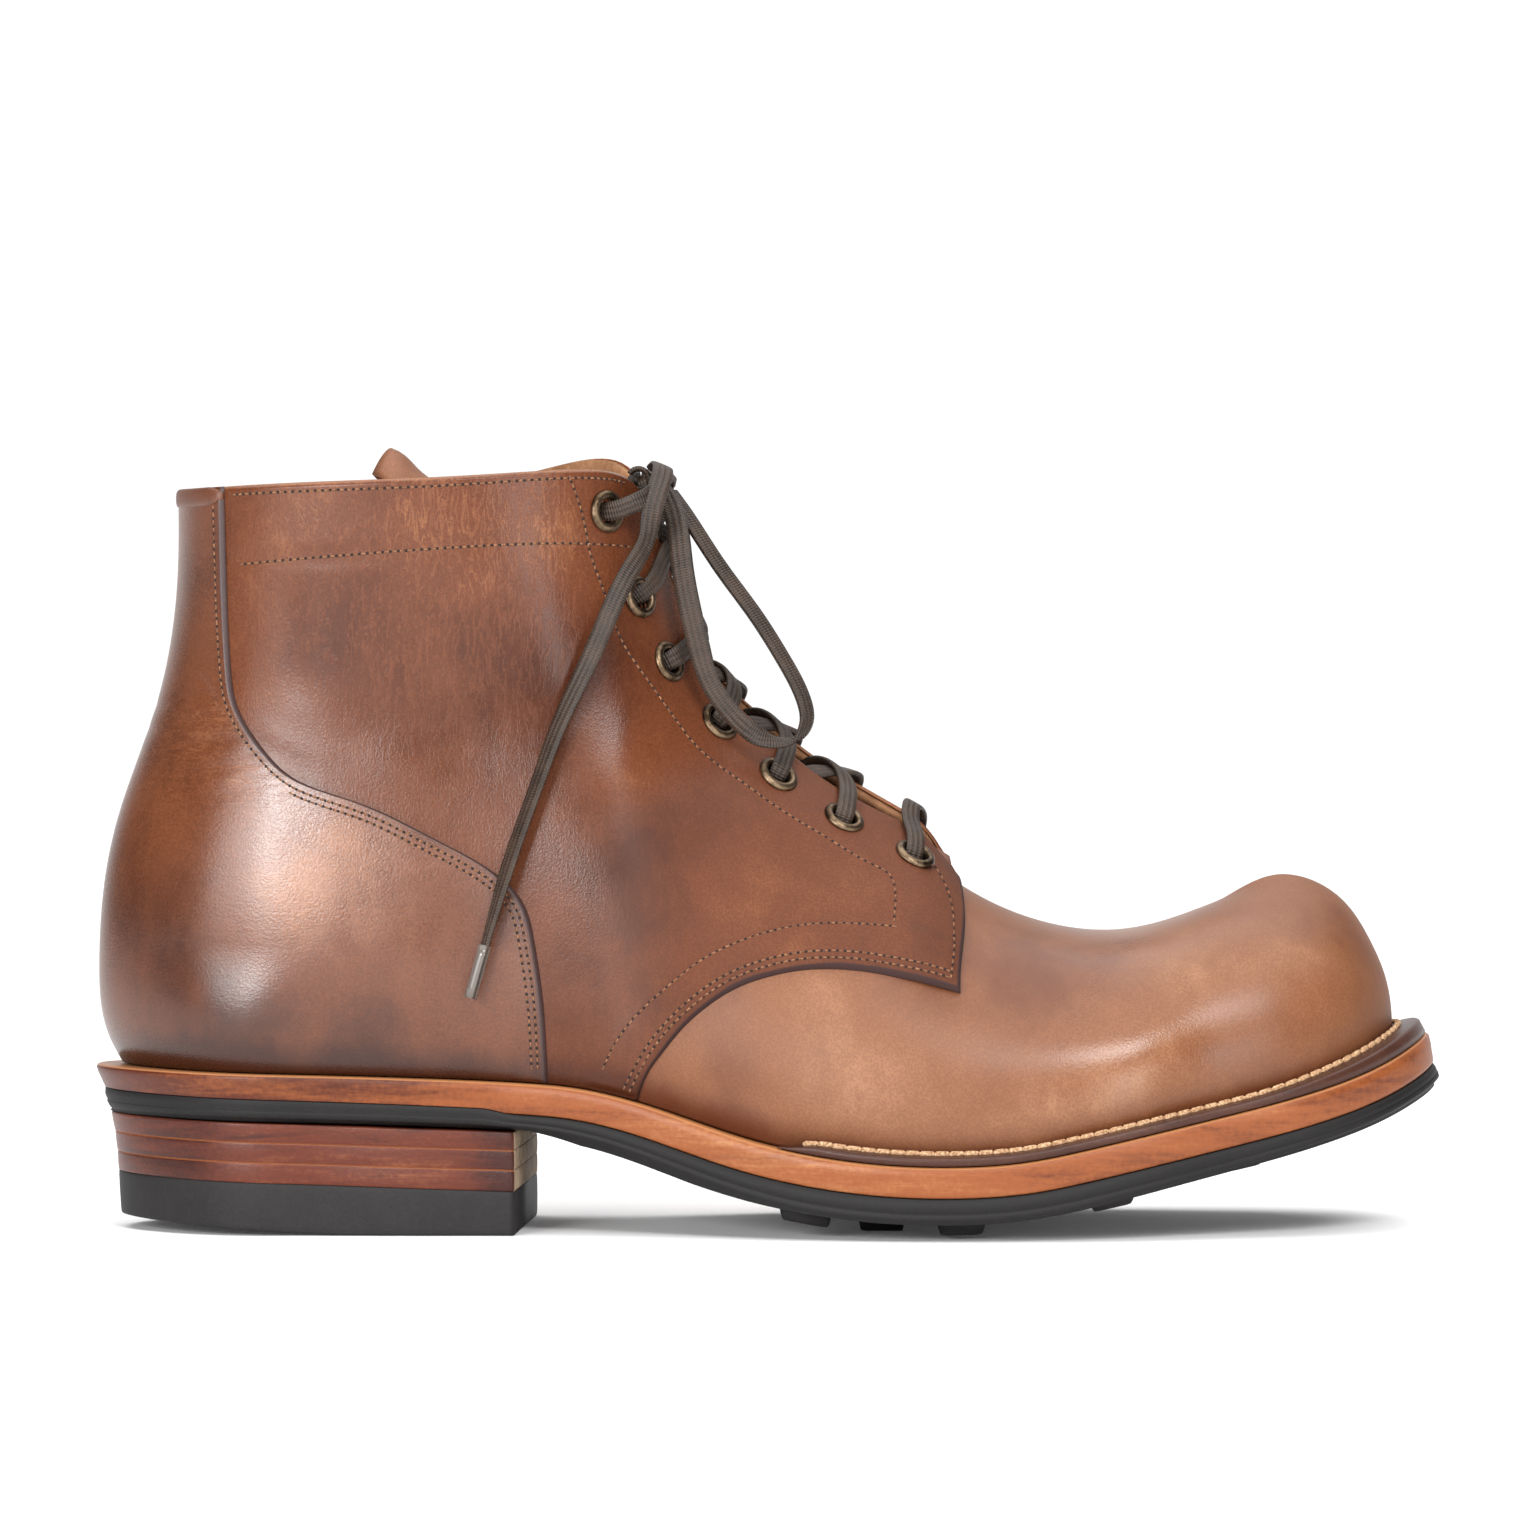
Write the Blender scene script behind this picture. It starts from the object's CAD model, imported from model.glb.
"""Looks of the service boot for the right foot: leather panels, seams, lace, sole and a white studio.

Sizes are millimetres in the last's own frame, as in the part: x from the back of the heel to the toe,
y sideways (minus is the lateral side) and z above the floor. make() turns them into the frame's metres.
"""

import math

import bmesh
import bpy
import numpy as np
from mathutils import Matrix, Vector


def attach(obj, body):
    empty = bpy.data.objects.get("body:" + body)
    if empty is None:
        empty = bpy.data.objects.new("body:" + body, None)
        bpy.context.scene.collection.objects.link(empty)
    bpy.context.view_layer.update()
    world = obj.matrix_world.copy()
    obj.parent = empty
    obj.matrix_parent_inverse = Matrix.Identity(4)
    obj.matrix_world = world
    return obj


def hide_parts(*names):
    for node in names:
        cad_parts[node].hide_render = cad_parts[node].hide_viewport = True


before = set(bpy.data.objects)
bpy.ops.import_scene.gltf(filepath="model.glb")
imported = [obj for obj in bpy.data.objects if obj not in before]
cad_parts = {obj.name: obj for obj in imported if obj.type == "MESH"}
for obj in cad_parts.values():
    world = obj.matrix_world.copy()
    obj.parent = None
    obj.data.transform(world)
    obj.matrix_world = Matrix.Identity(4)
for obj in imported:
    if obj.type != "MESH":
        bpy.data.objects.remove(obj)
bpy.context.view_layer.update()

MM = 0.001
# Half the boot's length, and the gap that keeps touching pieces apart.
HALF_LENGTH = 155.0
GAP = 0.3
SIDES = ((-1, "lateral"), (1, "medial"))

# The last, as in the part: one row a rib, from the back seam to the toe tip.
RISES = (0.0, 0.06, 0.17, 0.40, 0.63, 0.86, 1.0)
COLUMNS = (
    "aim foot_x foot_y top_x top_y top_z foot bulge wall waist ankle crown top "
    "med_foot med_top med_up closed margin"
).split()
REACHES = slice(COLUMNS.index("foot"), COLUMNS.index("top") + 1)
LAST = np.array(
    [
        (0, 50, 0, 50, 0, 169.9, 41.0, 45.2, 47.0, 43.6, 33.5, 28.8, 28.7, 1.00, 1.00, 0.0, 0, 9.0),
        (45, 50, 0, 50, 0, 169.5, 35.2, 38.5, 40.5, 38.1, 32.6, 31.0, 31.6, 1.00, 1.00, 0.0, 0, 7.8),
        (90, 50, 0, 50, 0, 170.2, 29.8, 32.4, 34.2, 32.7, 30.8, 32.8, 34.3, 1.00, 1.00, 0.0, 0, 6.6),
        (90, 75, 0, 78, 0, 171.2, 29.4, 31.9, 33.6, 32.4, 31.0, 33.6, 35.2, 0.98, 1.00, 0.8, 0, 6.8),
        (90, 97, 0, 102, 0, 172.8, 29.8, 32.4, 34.0, 33.6, 30.8, 31.6, 31.6, 0.93, 1.00, 3.5, 0, 6.2),
        (90, 108, 0, 117, 0.5, 173.4, 31.6, 34.1, 35.5, 34.6, 29.4, 25.4, 23.8, 0.88, 1.00, 5.0, 0, 5.4),
        (90, 117, 0, 125, 1, 169.4, 32.8, 35.2, 36.6, 35.2, 27.6, 19.4, 12.0, 0.84, 1.00, 3.0, 0, 5.2),
        (90, 127, 0, 131, 2, 151.5, 34.3, 36.8, 38.2, 36.2, 27.8, 16.6, 6.0, 0.81, 1.00, 1.5, 0, 5.4),
        (90, 138, 0, 139.5, 2, 130.5, 36.7, 39.3, 40.7, 38.0, 29.4, 16.8, 5.6, 0.80, 1.00, 2.0, 0, 6.0),
        (90, 152, 0, 152.5, 2, 114.9, 41.0, 43.4, 44.6, 41.4, 32.4, 18.2, 5.4, 0.80, 0.98, 3.4, 0, 6.6),
        (90, 167, 0, 168, 2, 102.2, 44.4, 46.7, 47.9, 45.2, 35.8, 20.4, 5.0, 0.83, 0.97, 4.0, 0, 7.4),
        (90, 183, 0, 185, 2, 92.8, 46.5, 48.4, 49.4, 47.2, 38.2, 21.8, 4.2, 0.89, 0.96, 3.2, 0, 8.2),
        (90, 197, 0, 199.8, 2, 85.6, 47.0, 48.6, 49.4, 47.1, 38.6, 20.6, 3.4, 0.94, 0.96, 1.2, 0, 8.5),
        (90, 197, 0, 200.4, 2, 78.2, 47.0, 48.6, 49.4, 47.6, 40.0, 24.6, 0.0, 0.94, 0.96, 0.0, 1, 8.5),
        (90, 219, 0, 220, 1.5, 69.8, 46.4, 48.0, 48.9, 47.6, 41.3, 28.0, 0.0, 1.00, 0.97, 0.0, 1, 8.6),
        (90, 240, 0.5, 239.5, 1.5, 68.6, 43.9, 45.5, 46.4, 45.4, 40.2, 28.4, 0.0, 1.05, 0.99, 0.0, 1, 8.7),
        (90, 256, 1.5, 254, 2, 72.6, 39.8, 41.2, 42.2, 41.4, 37.3, 27.0, 0.0, 1.09, 1.00, 0.0, 1, 8.8),
        (115, 262, 4, 263.5, 3.5, 77.1, 39.0, 40.2, 40.9, 39.8, 35.2, 24.8, 0.0, 1.06, 1.00, 0.0, 1, 8.7),
        (145, 262, 4, 270, 4, 80.2, 37.8, 37.8, 37.3, 34.4, 28.8, 18.8, 0.0, 1.03, 1.00, 0.0, 1, 8.5),
        (180, 262, 4, 274, 4, 81.0, 37.2, 36.9, 35.7, 31.6, 25.0, 15.8, 0.0, 1.00, 1.00, 0.0, 1, 8.3),
    ],
    float,
)
QUARTER_ROWS = 13
# The vamp's own ribs carry on under the quarters: at this row its top and reaches are lower than theirs.
VAMP_ROW, VAMP_UNDER = 11, {"top_z": 88.0, "waist": 47.7, "ankle": 40.2, "crown": 24.6}
SOLE_LINE = np.array(
    [
        (0, 37.5), (50, 36.1), (98, 34.4), (113, 33.0), (128.5, 29.2), (140, 25.4), (151, 22.0),
        (163, 19.3), (180, 17.1), (198, 16.6), (212, 17.6), (227, 20.5), (245, 24.6), (263, 28.7),
        (278, 32.6), (289, 36.1), (299, 40.3), (308, 45.0),
    ],
    float,
)

# Leather layers: how far each stands out from the last's surface.
VAMP_IN, LINING_IN, LINING_OUT = -1.6, -1.7, -0.2
QUARTER_IN, QUARTER_OUT = 0.05, 1.25
COUNTER_IN, COUNTER_OUT = 1.3, 2.6
CUT_BEVEL = 1.0
EDGE_STEPS = np.array([0, 0.25, 0.5, 0.75, 1.0, 1.3, 1.9, 2.8])

# Side outlines and seams: x, height.
QUARTER_EDGE = np.array(
    [
        (124.4, 27.0), (125.9, 32.1), (130.2, 40.2), (135.8, 47.2), (139.9, 51.0), (143.9, 54.0),
        (148.9, 56.8), (154.8, 58.9), (161.6, 60.4), (169.2, 60.9), (177.9, 60.2), (188.7, 58.2),
        (196.6, 56.6), (206.0, 54.6),
    ],
    float,
)
VAMP_SEAM = np.array(
    [
        (115.6, 33.5), (118.0, 38.0), (121.0, 44.0), (127.6, 52.0), (134.0, 57.6), (140.0, 62.2),
        (148.0, 66.2), (157.0, 69.0), (168.0, 70.4), (176.0, 70.2), (183.5, 69.6), (190.0, 68.4),
        (196.5, 66.6),
    ],
    float,
)
COUNTER_EDGE = np.array(
    [
        (105.3, 24.0), (105.0, 36.0), (104.1, 53.5), (102.3, 66.1), (99.6, 75.4), (94.3, 81.2),
        (80.3, 89.4), (64.2, 97.2), (54.0, 100.6), (46.7, 104.0), (41.5, 108.8), (36.8, 114.9),
        (33.9, 120.4), (32.5, 128.0), (31.6, 141.0), (31.0, 160.0), (30.6, 184.0),
    ],
    float,
)
FACING_SEAM = np.array(
    [
        (110.2, 171.3), (113.2, 162.2), (114.6, 155.2), (118.0, 145.6), (121.8, 134.8), (127.3, 126.2),
        (133.2, 117.8), (140.2, 109.2), (148.5, 102.9), (158.5, 95.8), (169.4, 89.2), (178.6, 83.8),
        (183.2, 80.8), (184.0, 77.0), (183.6, 71.2),
    ],
    float,
)
CUFF_SEAM = np.array([(35.6, 151.8), (58.6, 153.6), (94.9, 156.0), (115.6, 156.5), (123.6, 156.2)], float)
CORNER_LONG, CORNER_TALL = 6.0, 11.0

# Eyelets, from the collar to the vamp: x, height.
EYELETS = (
    (118.4, 164.0), (125.8, 144.7), (132.4, 129.9), (143.9, 116.1), (157.4, 104.0), (172.5, 94.1),
    (188.8, 85.7),
)

# Soft creases of the leather: start x, height, end x, height, half width, depth (minus is a trough).
QUARTER_CREASES = (
    (117.0, 153.0, 112.0, 118.0, 6.0, -0.4), (108.0, 150.0, 104.0, 124.0, 8.0, 0.3),
    (126.0, 118.0, 118.0, 100.0, 6.0, 0.5), (60.0, 118.0, 92.0, 108.0, 7.0, -0.25),
    (64.0, 108.0, 96.0, 96.0, 6.0, 0.2), (47.0, 148.0, 49.0, 122.0, 3.0, -0.3),
    (38.0, 112.0, 52.0, 104.5, 1.6, -0.12), (40.0, 115.0, 56.0, 107.0, 1.4, 0.08),
)
COUNTER_CREASES = (
    (15.0, 119.0, 29.0, 122.0, 1.4, -0.16), (13.5, 113.5, 31.0, 117.0, 1.2, -0.14),
    (16.0, 108.5, 37.0, 112.5, 1.5, -0.2), (22.0, 103.0, 44.0, 108.0, 1.3, -0.16),
    (28.0, 126.0, 32.0, 116.0, 1.2, -0.2), (30.0, 99.0, 47.0, 103.5, 1.6, -0.12),
)
VAMP_CREASES = (
    (216.0, 62.0, 224.0, 50.0, 6.0, -0.35), (226.0, 63.0, 236.0, 52.0, 5.0, 0.25),
    (140.0, 34.0, 158.0, 30.0, 5.0, -0.4),
)


def spline(knots, values, at, flat=(False, False)):
    """The cubic spline through (knots, values), read at the places in at; a flat end has no slope."""
    t, y, at = np.asarray(knots, float), np.asarray(values, float), np.asarray(at, float)
    n, h = len(t), np.diff(t)
    lhs, rhs = np.zeros((n, n)), np.zeros(y.shape)
    steep = (np.diff(y, axis=0).T / h).T
    for i in range(1, n - 1):
        lhs[i, i - 1 : i + 2] = h[i - 1], 2 * (h[i - 1] + h[i]), h[i]
        rhs[i] = 6 * (steep[i] - steep[i - 1])
    lhs[0, 0] = lhs[-1, -1] = 1
    if flat[0]:
        lhs[0, :2], rhs[0] = (2 * h[0], h[0]), 6 * steep[0]
    if flat[1]:
        lhs[-1, -2:], rhs[-1] = (h[-1], 2 * h[-1]), -6 * steep[-1]
    bend = np.linalg.solve(lhs, rhs)
    i = np.clip(np.searchsorted(t, at) - 1, 0, n - 2)
    if y.ndim > 1:
        h, at, t = h[:, None], at[:, None], t[:, None]
    a, b = t[i + 1] - at, at - t[i]
    return (
        bend[i] * a**3 / (6 * h[i])
        + bend[i + 1] * b**3 / (6 * h[i])
        + (y[i] / h[i] - bend[i] * h[i] / 6) * a
        + (y[i + 1] / h[i] - bend[i + 1] * h[i] / 6) * b
    )


def smooth(t):
    t = np.clip(t, 0, 1)
    return t * t * (3 - 2 * t)


def unit(v):
    return v / np.maximum(np.linalg.norm(v, axis=-1), 1e-12)[..., None]


def distances(points):
    """How far along a line of points each one lies."""
    return np.concatenate([[0], np.cumsum(np.linalg.norm(np.diff(points, axis=0), axis=1))])


def read(table, x, flat=(False, False)):
    """The spline through a table of (place, value), read at every x."""
    x = np.asarray(x, float)
    return spline(table[:, 0], table[:, 1], x.ravel(), flat).reshape(x.shape)


# How steeply the sole's line carries on past its heel and toe ends.
HEEL_RISE, TOE_RISE = -0.03, 0.52


def sole_line(x):
    """Height of the midsole's top, carried on straight past its ends."""
    x = np.asarray(x, float)
    inside = np.clip(x, *SOLE_LINE[[0, -1], 0])
    return read(SOLE_LINE, inside) + (x - inside) * np.where(x > HALF_LENGTH, TOE_RISE, HEEL_RISE)


def sole_slope(x):
    return np.arctan(sole_line(np.asarray(x) + 0.5) - sole_line(np.asarray(x) - 0.5))


def row_points(rows, side):
    """The rib points of each row of the last, [row, level, xyz]; side is -1 lateral, 1 medial."""
    c = {name: rows[:, i] for i, name in enumerate(COLUMNS)}
    rise = np.array(RISES)
    reach = rows[:, REACHES].copy()
    if side > 0:
        reach *= c["med_foot"][:, None] + (c["med_top"] - c["med_foot"])[:, None] * rise
    aim = np.radians(c["aim"])[:, None]
    x = c["foot_x"][:, None] + (c["top_x"] - c["foot_x"])[:, None] * rise - np.cos(aim) * reach
    y = c["foot_y"][:, None] + (c["top_y"] - c["foot_y"])[:, None] * rise + side * np.sin(aim) * reach
    foot = sole_line(x[:, 0]) + GAP
    top = c["top_z"] + (c["med_up"] if side > 0 else 0)
    z = foot[:, None] + (top - foot)[:, None] * rise
    return np.stack([x, y, z], axis=2)


def row_places():
    """Where each row lies along the boot, from 0 at the back seam to 1 at the toe tip."""
    wall = row_points(LAST, -1)[:, 2]
    far = distances(wall)
    return far / far[-1], far[-1]


PLACES, AROUND = row_places()
THROAT = PLACES[QUARTER_ROWS]
FRONT = PLACES[QUARTER_ROWS - 1]
CLOSES = THROAT - 0.02
THROAT_LEAST = 1.8


def vamp_table():
    rows = np.delete(LAST, QUARTER_ROWS - 1, axis=0)
    for word, value in VAMP_UNDER.items():
        rows[VAMP_ROW, COLUMNS.index(word)] = value
    return np.delete(PLACES, QUARTER_ROWS - 1), rows


TABLES = {"quarter": (PLACES[:QUARTER_ROWS], LAST[:QUARTER_ROWS]), "vamp": vamp_table()}


def last_rows(us, table):
    """Rows of the last at the places us, from the quarters' ribs or from the vamp's."""
    places, rows = TABLES[table]
    us = np.clip(us, 0, places[-1])
    out = spline(places, rows, us, (True, table == "vamp"))
    aim, top, closed = (COLUMNS.index(word) for word in ("aim", "top", "closed"))
    out[:, aim] = spline(places, rows[:, aim], us)
    shut = (us >= CLOSES - 1e-9) & (table == "vamp")
    out[:, closed] = shut
    out[:, top] = np.where(shut, 0.0, np.maximum(out[:, top], THROAT_LEAST))
    return out


def curves(t, y, at):
    """Cubic splines through many rows of (t, y), each read at its own places in at: [row, place, xyz]."""
    n, k = t.shape
    h = np.diff(t, axis=1)
    steep = np.diff(y, axis=1) / h[..., None]
    lhs, rhs = np.zeros((n, k, k)), np.zeros(y.shape)
    lhs[:, 0, 0] = lhs[:, -1, -1] = 1
    for i in range(1, k - 1):
        lhs[:, i, i - 1], lhs[:, i, i], lhs[:, i, i + 1] = h[:, i - 1], 2 * (h[:, i - 1] + h[:, i]), h[:, i]
        rhs[:, i] = 6 * (steep[:, i] - steep[:, i - 1])
    bend = np.linalg.solve(lhs, rhs)
    i = (at[:, :, None] > t[:, None, 1:-1]).sum(axis=2)
    row = np.arange(n)[:, None]
    gap = h[row, i][..., None]
    a, b = t[row, i + 1][..., None] - at[..., None], at[..., None] - t[row, i][..., None]
    first, second = y[row, i] / gap - bend[row, i] * gap / 6, y[row, i + 1] / gap - bend[row, i + 1] * gap / 6
    return (bend[row, i] * a**3 + bend[row, i + 1] * b**3) / (6 * gap) + first * a + second * b


# How much narrower the leather is than the heel's ribs, which keeps its side round: x, share; and the height
# from which it is, with the height over which that sets in.
EASE_FROM, EASE_OVER = 42.0, 24.0
HEEL_EASE = np.array(
    [
        (4, 0), (16, 0.042), (24, 0.075), (32, 0.085), (40, 0.06), (48, 0.02), (56, -0.014), (64, -0.026),
        (72, -0.025), (80, -0.016), (88, -0.006), (100, 0),
    ],
    float,
)


def sheet(us, vs, side, table):
    """Points of the last's surface, [u, v, xyz]; vs is one row of shares for each u."""
    rows = last_rows(us, table)
    points = row_points(rows, side)
    step = np.linalg.norm(np.diff(points, axis=1), axis=2)
    t = np.cumsum(np.hstack([np.zeros((len(step), 1)), step]), axis=1) / step.sum(axis=1)[:, None]
    closed = rows[:, COLUMNS.index("closed")] > 0.5
    out = np.empty((*vs.shape, 3))
    if not closed.all():
        out[~closed] = curves(t[~closed], points[~closed], vs[~closed])
    if closed.any():
        aim, p = np.radians(rows[closed, 0]), points[closed]
        inward = np.stack([np.cos(aim), -side * np.sin(aim), 0 * aim], axis=1)
        mirror = p[:, -2] + 2 * ((p[:, -1] - p[:, -2]) * inward).sum(axis=1)[:, None] * inward
        mirror[:, 2] = p[:, -2, 2]
        ends = np.hstack([t[closed], 2 - t[closed][:, -2:-1]])
        out[closed] = curves(ends, np.concatenate([p, mirror[:, None]], axis=1), vs[closed])
    x, z = out[..., 0], out[..., 2]
    ease = read(HEEL_EASE, np.clip(x, *HEEL_EASE[[0, -1], 0]), (True, True))
    out[..., 1] *= 1 - ease * smooth((z - EASE_FROM) / EASE_OVER)
    return out


def directions(us, vs, side, table):
    """Outward directions of the surface at the same places."""
    du, dv = 2e-4, 1e-3
    last = TABLES[table][0][-1]
    u0, u1 = np.clip(us - du, 0, last), np.clip(us + du, 0, last)
    v0, v1 = np.maximum(vs - dv, 0), np.minimum(vs + dv, 1)
    along = sheet(u1, vs, side, table) - sheet(u0, vs, side, table)
    up = sheet(us, v1, side, table) - sheet(us, v0, side, table)
    n = np.cross(along, up) * -side
    n[(us < 1e-9) | (us > 1 - 1e-9), :, 1] = 0
    return unit(n)


def skin(us, vs, side, table):
    """(points, outward directions) of the last's surface."""
    return sheet(us, vs, side, table), directions(us, vs, side, table)


def above_sole(points):
    points = points.copy()
    points[..., 2] = np.maximum(points[..., 2], sole_line(points[..., 0]) + GAP)
    return points


def surface(us, vs, side, out, table="quarter"):
    """Points that stand out from the last's surface by out."""
    n = directions(us, vs, side, table)
    return above_sole(sheet(us, vs, side, table) + n * np.broadcast_to(out, vs.shape)[..., None])


def rib_lengths(us, side, table):
    p = sheet(us, np.tile(np.linspace(0, 1, 25), (len(us), 1)), side, table)
    return np.linalg.norm(np.diff(p, axis=1), axis=2).sum(axis=1)


CHARTS = {}


def chart(side, out, table):
    """A grid of the surface's x and height with its slopes, made once."""
    key = side, out, table
    if key not in CHARTS:
        us, vs = np.linspace(0, TABLES[table][0][-1], 150), np.linspace(0, 1, 110)
        p = surface(us, np.tile(vs, (len(us), 1)), side, out, table)[..., [0, 2]]
        CHARTS[key] = us, vs, p, np.gradient(p, us, axis=0), np.gradient(p, vs, axis=1)
    return CHARTS[key]


def find(xz, side, out, table="quarter"):
    """(u, v) where the surface standing out by out has each x and height."""
    us, vs, p, du, dv = chart(side, out, table)
    places = []
    for q in np.asarray(xz, float):
        i, j = np.unravel_index(((p - q) ** 2).sum(axis=2).argmin(), p.shape[:2])
        step = np.linalg.lstsq(np.stack([du[i, j], dv[i, j]], axis=1), q - p[i, j], rcond=1e-3)[0]
        limit = np.array([us[1], vs[1]])
        places.append(np.array([us[i], vs[j]]) + np.clip(step, -limit, limit))
    u, v = np.array(places).T
    return np.clip(u, 0, us[-1]), np.clip(v, 0, 1)


def on_side(xz, side, out, table="quarter"):
    """(points, outward directions) on the surface for each x and height."""
    u, v = find(xz, side, out, table)
    n = directions(u, v[:, None], side, table)[:, 0]
    return surface(u, v[:, None], side, out, table)[:, 0], n


def even(points, pitch):
    """The smooth curve through a line of points, read at an even pitch."""
    far = distances(points)
    return spline(far, points, np.linspace(0, far[-1], max(3, int(round(far[-1] / pitch)) + 1)))


def points_along(line, values, at):
    """Values of a line's points, read at distances along it."""
    far = distances(line)
    return np.stack([np.interp(at, far, values[:, k]) for k in range(3)], axis=1)


def beside(xz, inset):
    """The side outline moved square to itself; plus is to the left of its run."""
    run = unit(np.gradient(xz, axis=0))
    return xz + np.stack([-run[:, 1], run[:, 0]], axis=1) * inset


def crease_height(x, z, creases):
    """How much soft hand-placed folds lift the leather at each x and height."""
    lift = np.zeros(x.shape)
    for x0, z0, x1, z1, wide, deep in creases:
        dx, dz = x1 - x0, z1 - z0
        t = ((x - x0) * dx + (z - z0) * dz) / (dx * dx + dz * dz)
        k = np.clip(t, 0, 1)
        off = np.hypot(x - x0 - k * dx, z - z0 - k * dz) / wide
        lift += deep * np.exp(-off * off) * smooth(1.5 - np.abs(t - 0.5) * 2)
    return lift


COLLECTION = bpy.data.collections.new("service_boot_looks")
bpy.context.scene.collection.children.link(COLLECTION)


def to_frame(points):
    """Millimetres in the last's frame as metres in the boot's."""
    return (np.asarray(points, float) - (HALF_LENGTH, 0, 0)) * MM


def make(name, points, faces, finish, replaced=(), weld=0.0, kinds=None, fields=None):
    """One piece from points in millimetres; fields are values a point, kinds a material a face."""
    mesh = bpy.data.meshes.new(name)
    places = to_frame(points)
    mesh.from_pydata(places.tolist(), [], [list(map(int, f)) for f in faces])
    for word, values in (fields or {}).items():
        values = np.ascontiguousarray(np.broadcast_to(values, len(places)), dtype=np.float32)
        mesh.attributes.new(word, "FLOAT", "POINT").data.foreach_set("value", values)
    for m in finish if isinstance(finish, (list, tuple)) else [finish]:
        mesh.materials.append(m)
    if kinds is not None:
        mesh.polygons.foreach_set("material_index", np.asarray(kinds, np.int32))
    bm = bmesh.new()
    bm.from_mesh(mesh)
    if weld:
        bmesh.ops.remove_doubles(bm, verts=bm.verts, dist=weld * MM)
        bmesh.ops.dissolve_degenerate(bm, edges=bm.edges, dist=1e-7)
    bmesh.ops.recalc_face_normals(bm, faces=bm.faces)
    bm.to_mesh(mesh)
    bm.free()
    mesh.shade_smooth()
    piece = bpy.data.objects.new(name, mesh)
    COLLECTION.objects.link(piece)
    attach(piece, "root")
    if replaced:
        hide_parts(*replaced)
    return piece


def grid_faces(rows, cols):
    i, j = np.meshgrid(np.arange(rows - 1), np.arange(cols - 1), indexing="ij")
    a = i * cols + j
    return np.stack([a, a + cols, a + cols + 1, a + 1], axis=-1).reshape(-1, 4)


def wall_faces(rows, cols):
    """Faces of a closed wall: an outer grid, an inner grid after it, and the rims between."""
    n = rows * cols
    outer = grid_faces(rows, cols)
    loop = [i * cols for i in range(rows)] + [(rows - 1) * cols + j for j in range(1, cols)]
    loop += [i * cols + cols - 1 for i in range(rows - 2, -1, -1)] + list(range(cols - 2, 0, -1))
    rim = [[a, b, b + n, a + n] for a, b in zip(loop, loop[1:] + loop[:1])]
    return [*outer.tolist(), *(outer[:, ::-1] + n).tolist(), *rim]


def ring_faces(count, around, lids=True):
    """Faces of a skin over closed lines of points, one after another, with a lid on each end."""
    i, j = np.meshgrid(np.arange(count - 1), np.arange(around), indexing="ij")
    a, b = i * around + j, i * around + (j + 1) % around
    faces = np.stack([a, b, b + around, a + around], axis=-1).reshape(-1, 4).tolist()
    if lids:
        faces += [list(range(around))[::-1], [(count - 1) * around + k for k in range(around)]]
    return faces


def lid_faces(lateral, medial):
    """Faces across a sole layer, from its lateral edge to its medial one; the edges may share their ends."""
    return [list(dict.fromkeys((a, b, d, c))) for a, b, c, d in zip(lateral, lateral[1:], medial, medial[1:])]


def repeated(pieces, faces):
    """(points, faces) of many like pieces, from the points of each and the faces of one."""
    n = pieces[0].size // 3
    return pieces.reshape(-1, 3), [[k + m * n for k in f] for m in range(len(pieces)) for f in faces]


def circle(sides):
    return np.linspace(0, 2 * math.pi, sides, endpoint=False)


def joined(parts):
    """Several (points, faces) as one."""
    points, faces, n = [], [], 0
    for p, f in parts:
        points.append(np.asarray(p, float).reshape(-1, 3))
        faces += [[k + n for k in face] for face in f]
        n += len(points[-1])
    return np.vstack(points), faces


class Value:
    """A shader value; arithmetic on it adds Math nodes."""

    def __init__(self, finish, socket):
        self.finish, self.socket = finish, socket

    def math(self, operation, *terms):
        return self.finish.node("ShaderNodeMath", {"operation": operation}, dict(enumerate(terms)))

    def __add__(self, other):
        return self.math("ADD", self, other)

    def __sub__(self, other):
        return self.math("SUBTRACT", self, other)

    def __rsub__(self, other):
        return self.math("SUBTRACT", other, self)

    def __mul__(self, other):
        return self.math("MULTIPLY", self, other)

    def sine(self):
        return self.math("SINE", self)

    __radd__, __rmul__ = __add__, __mul__


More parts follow.
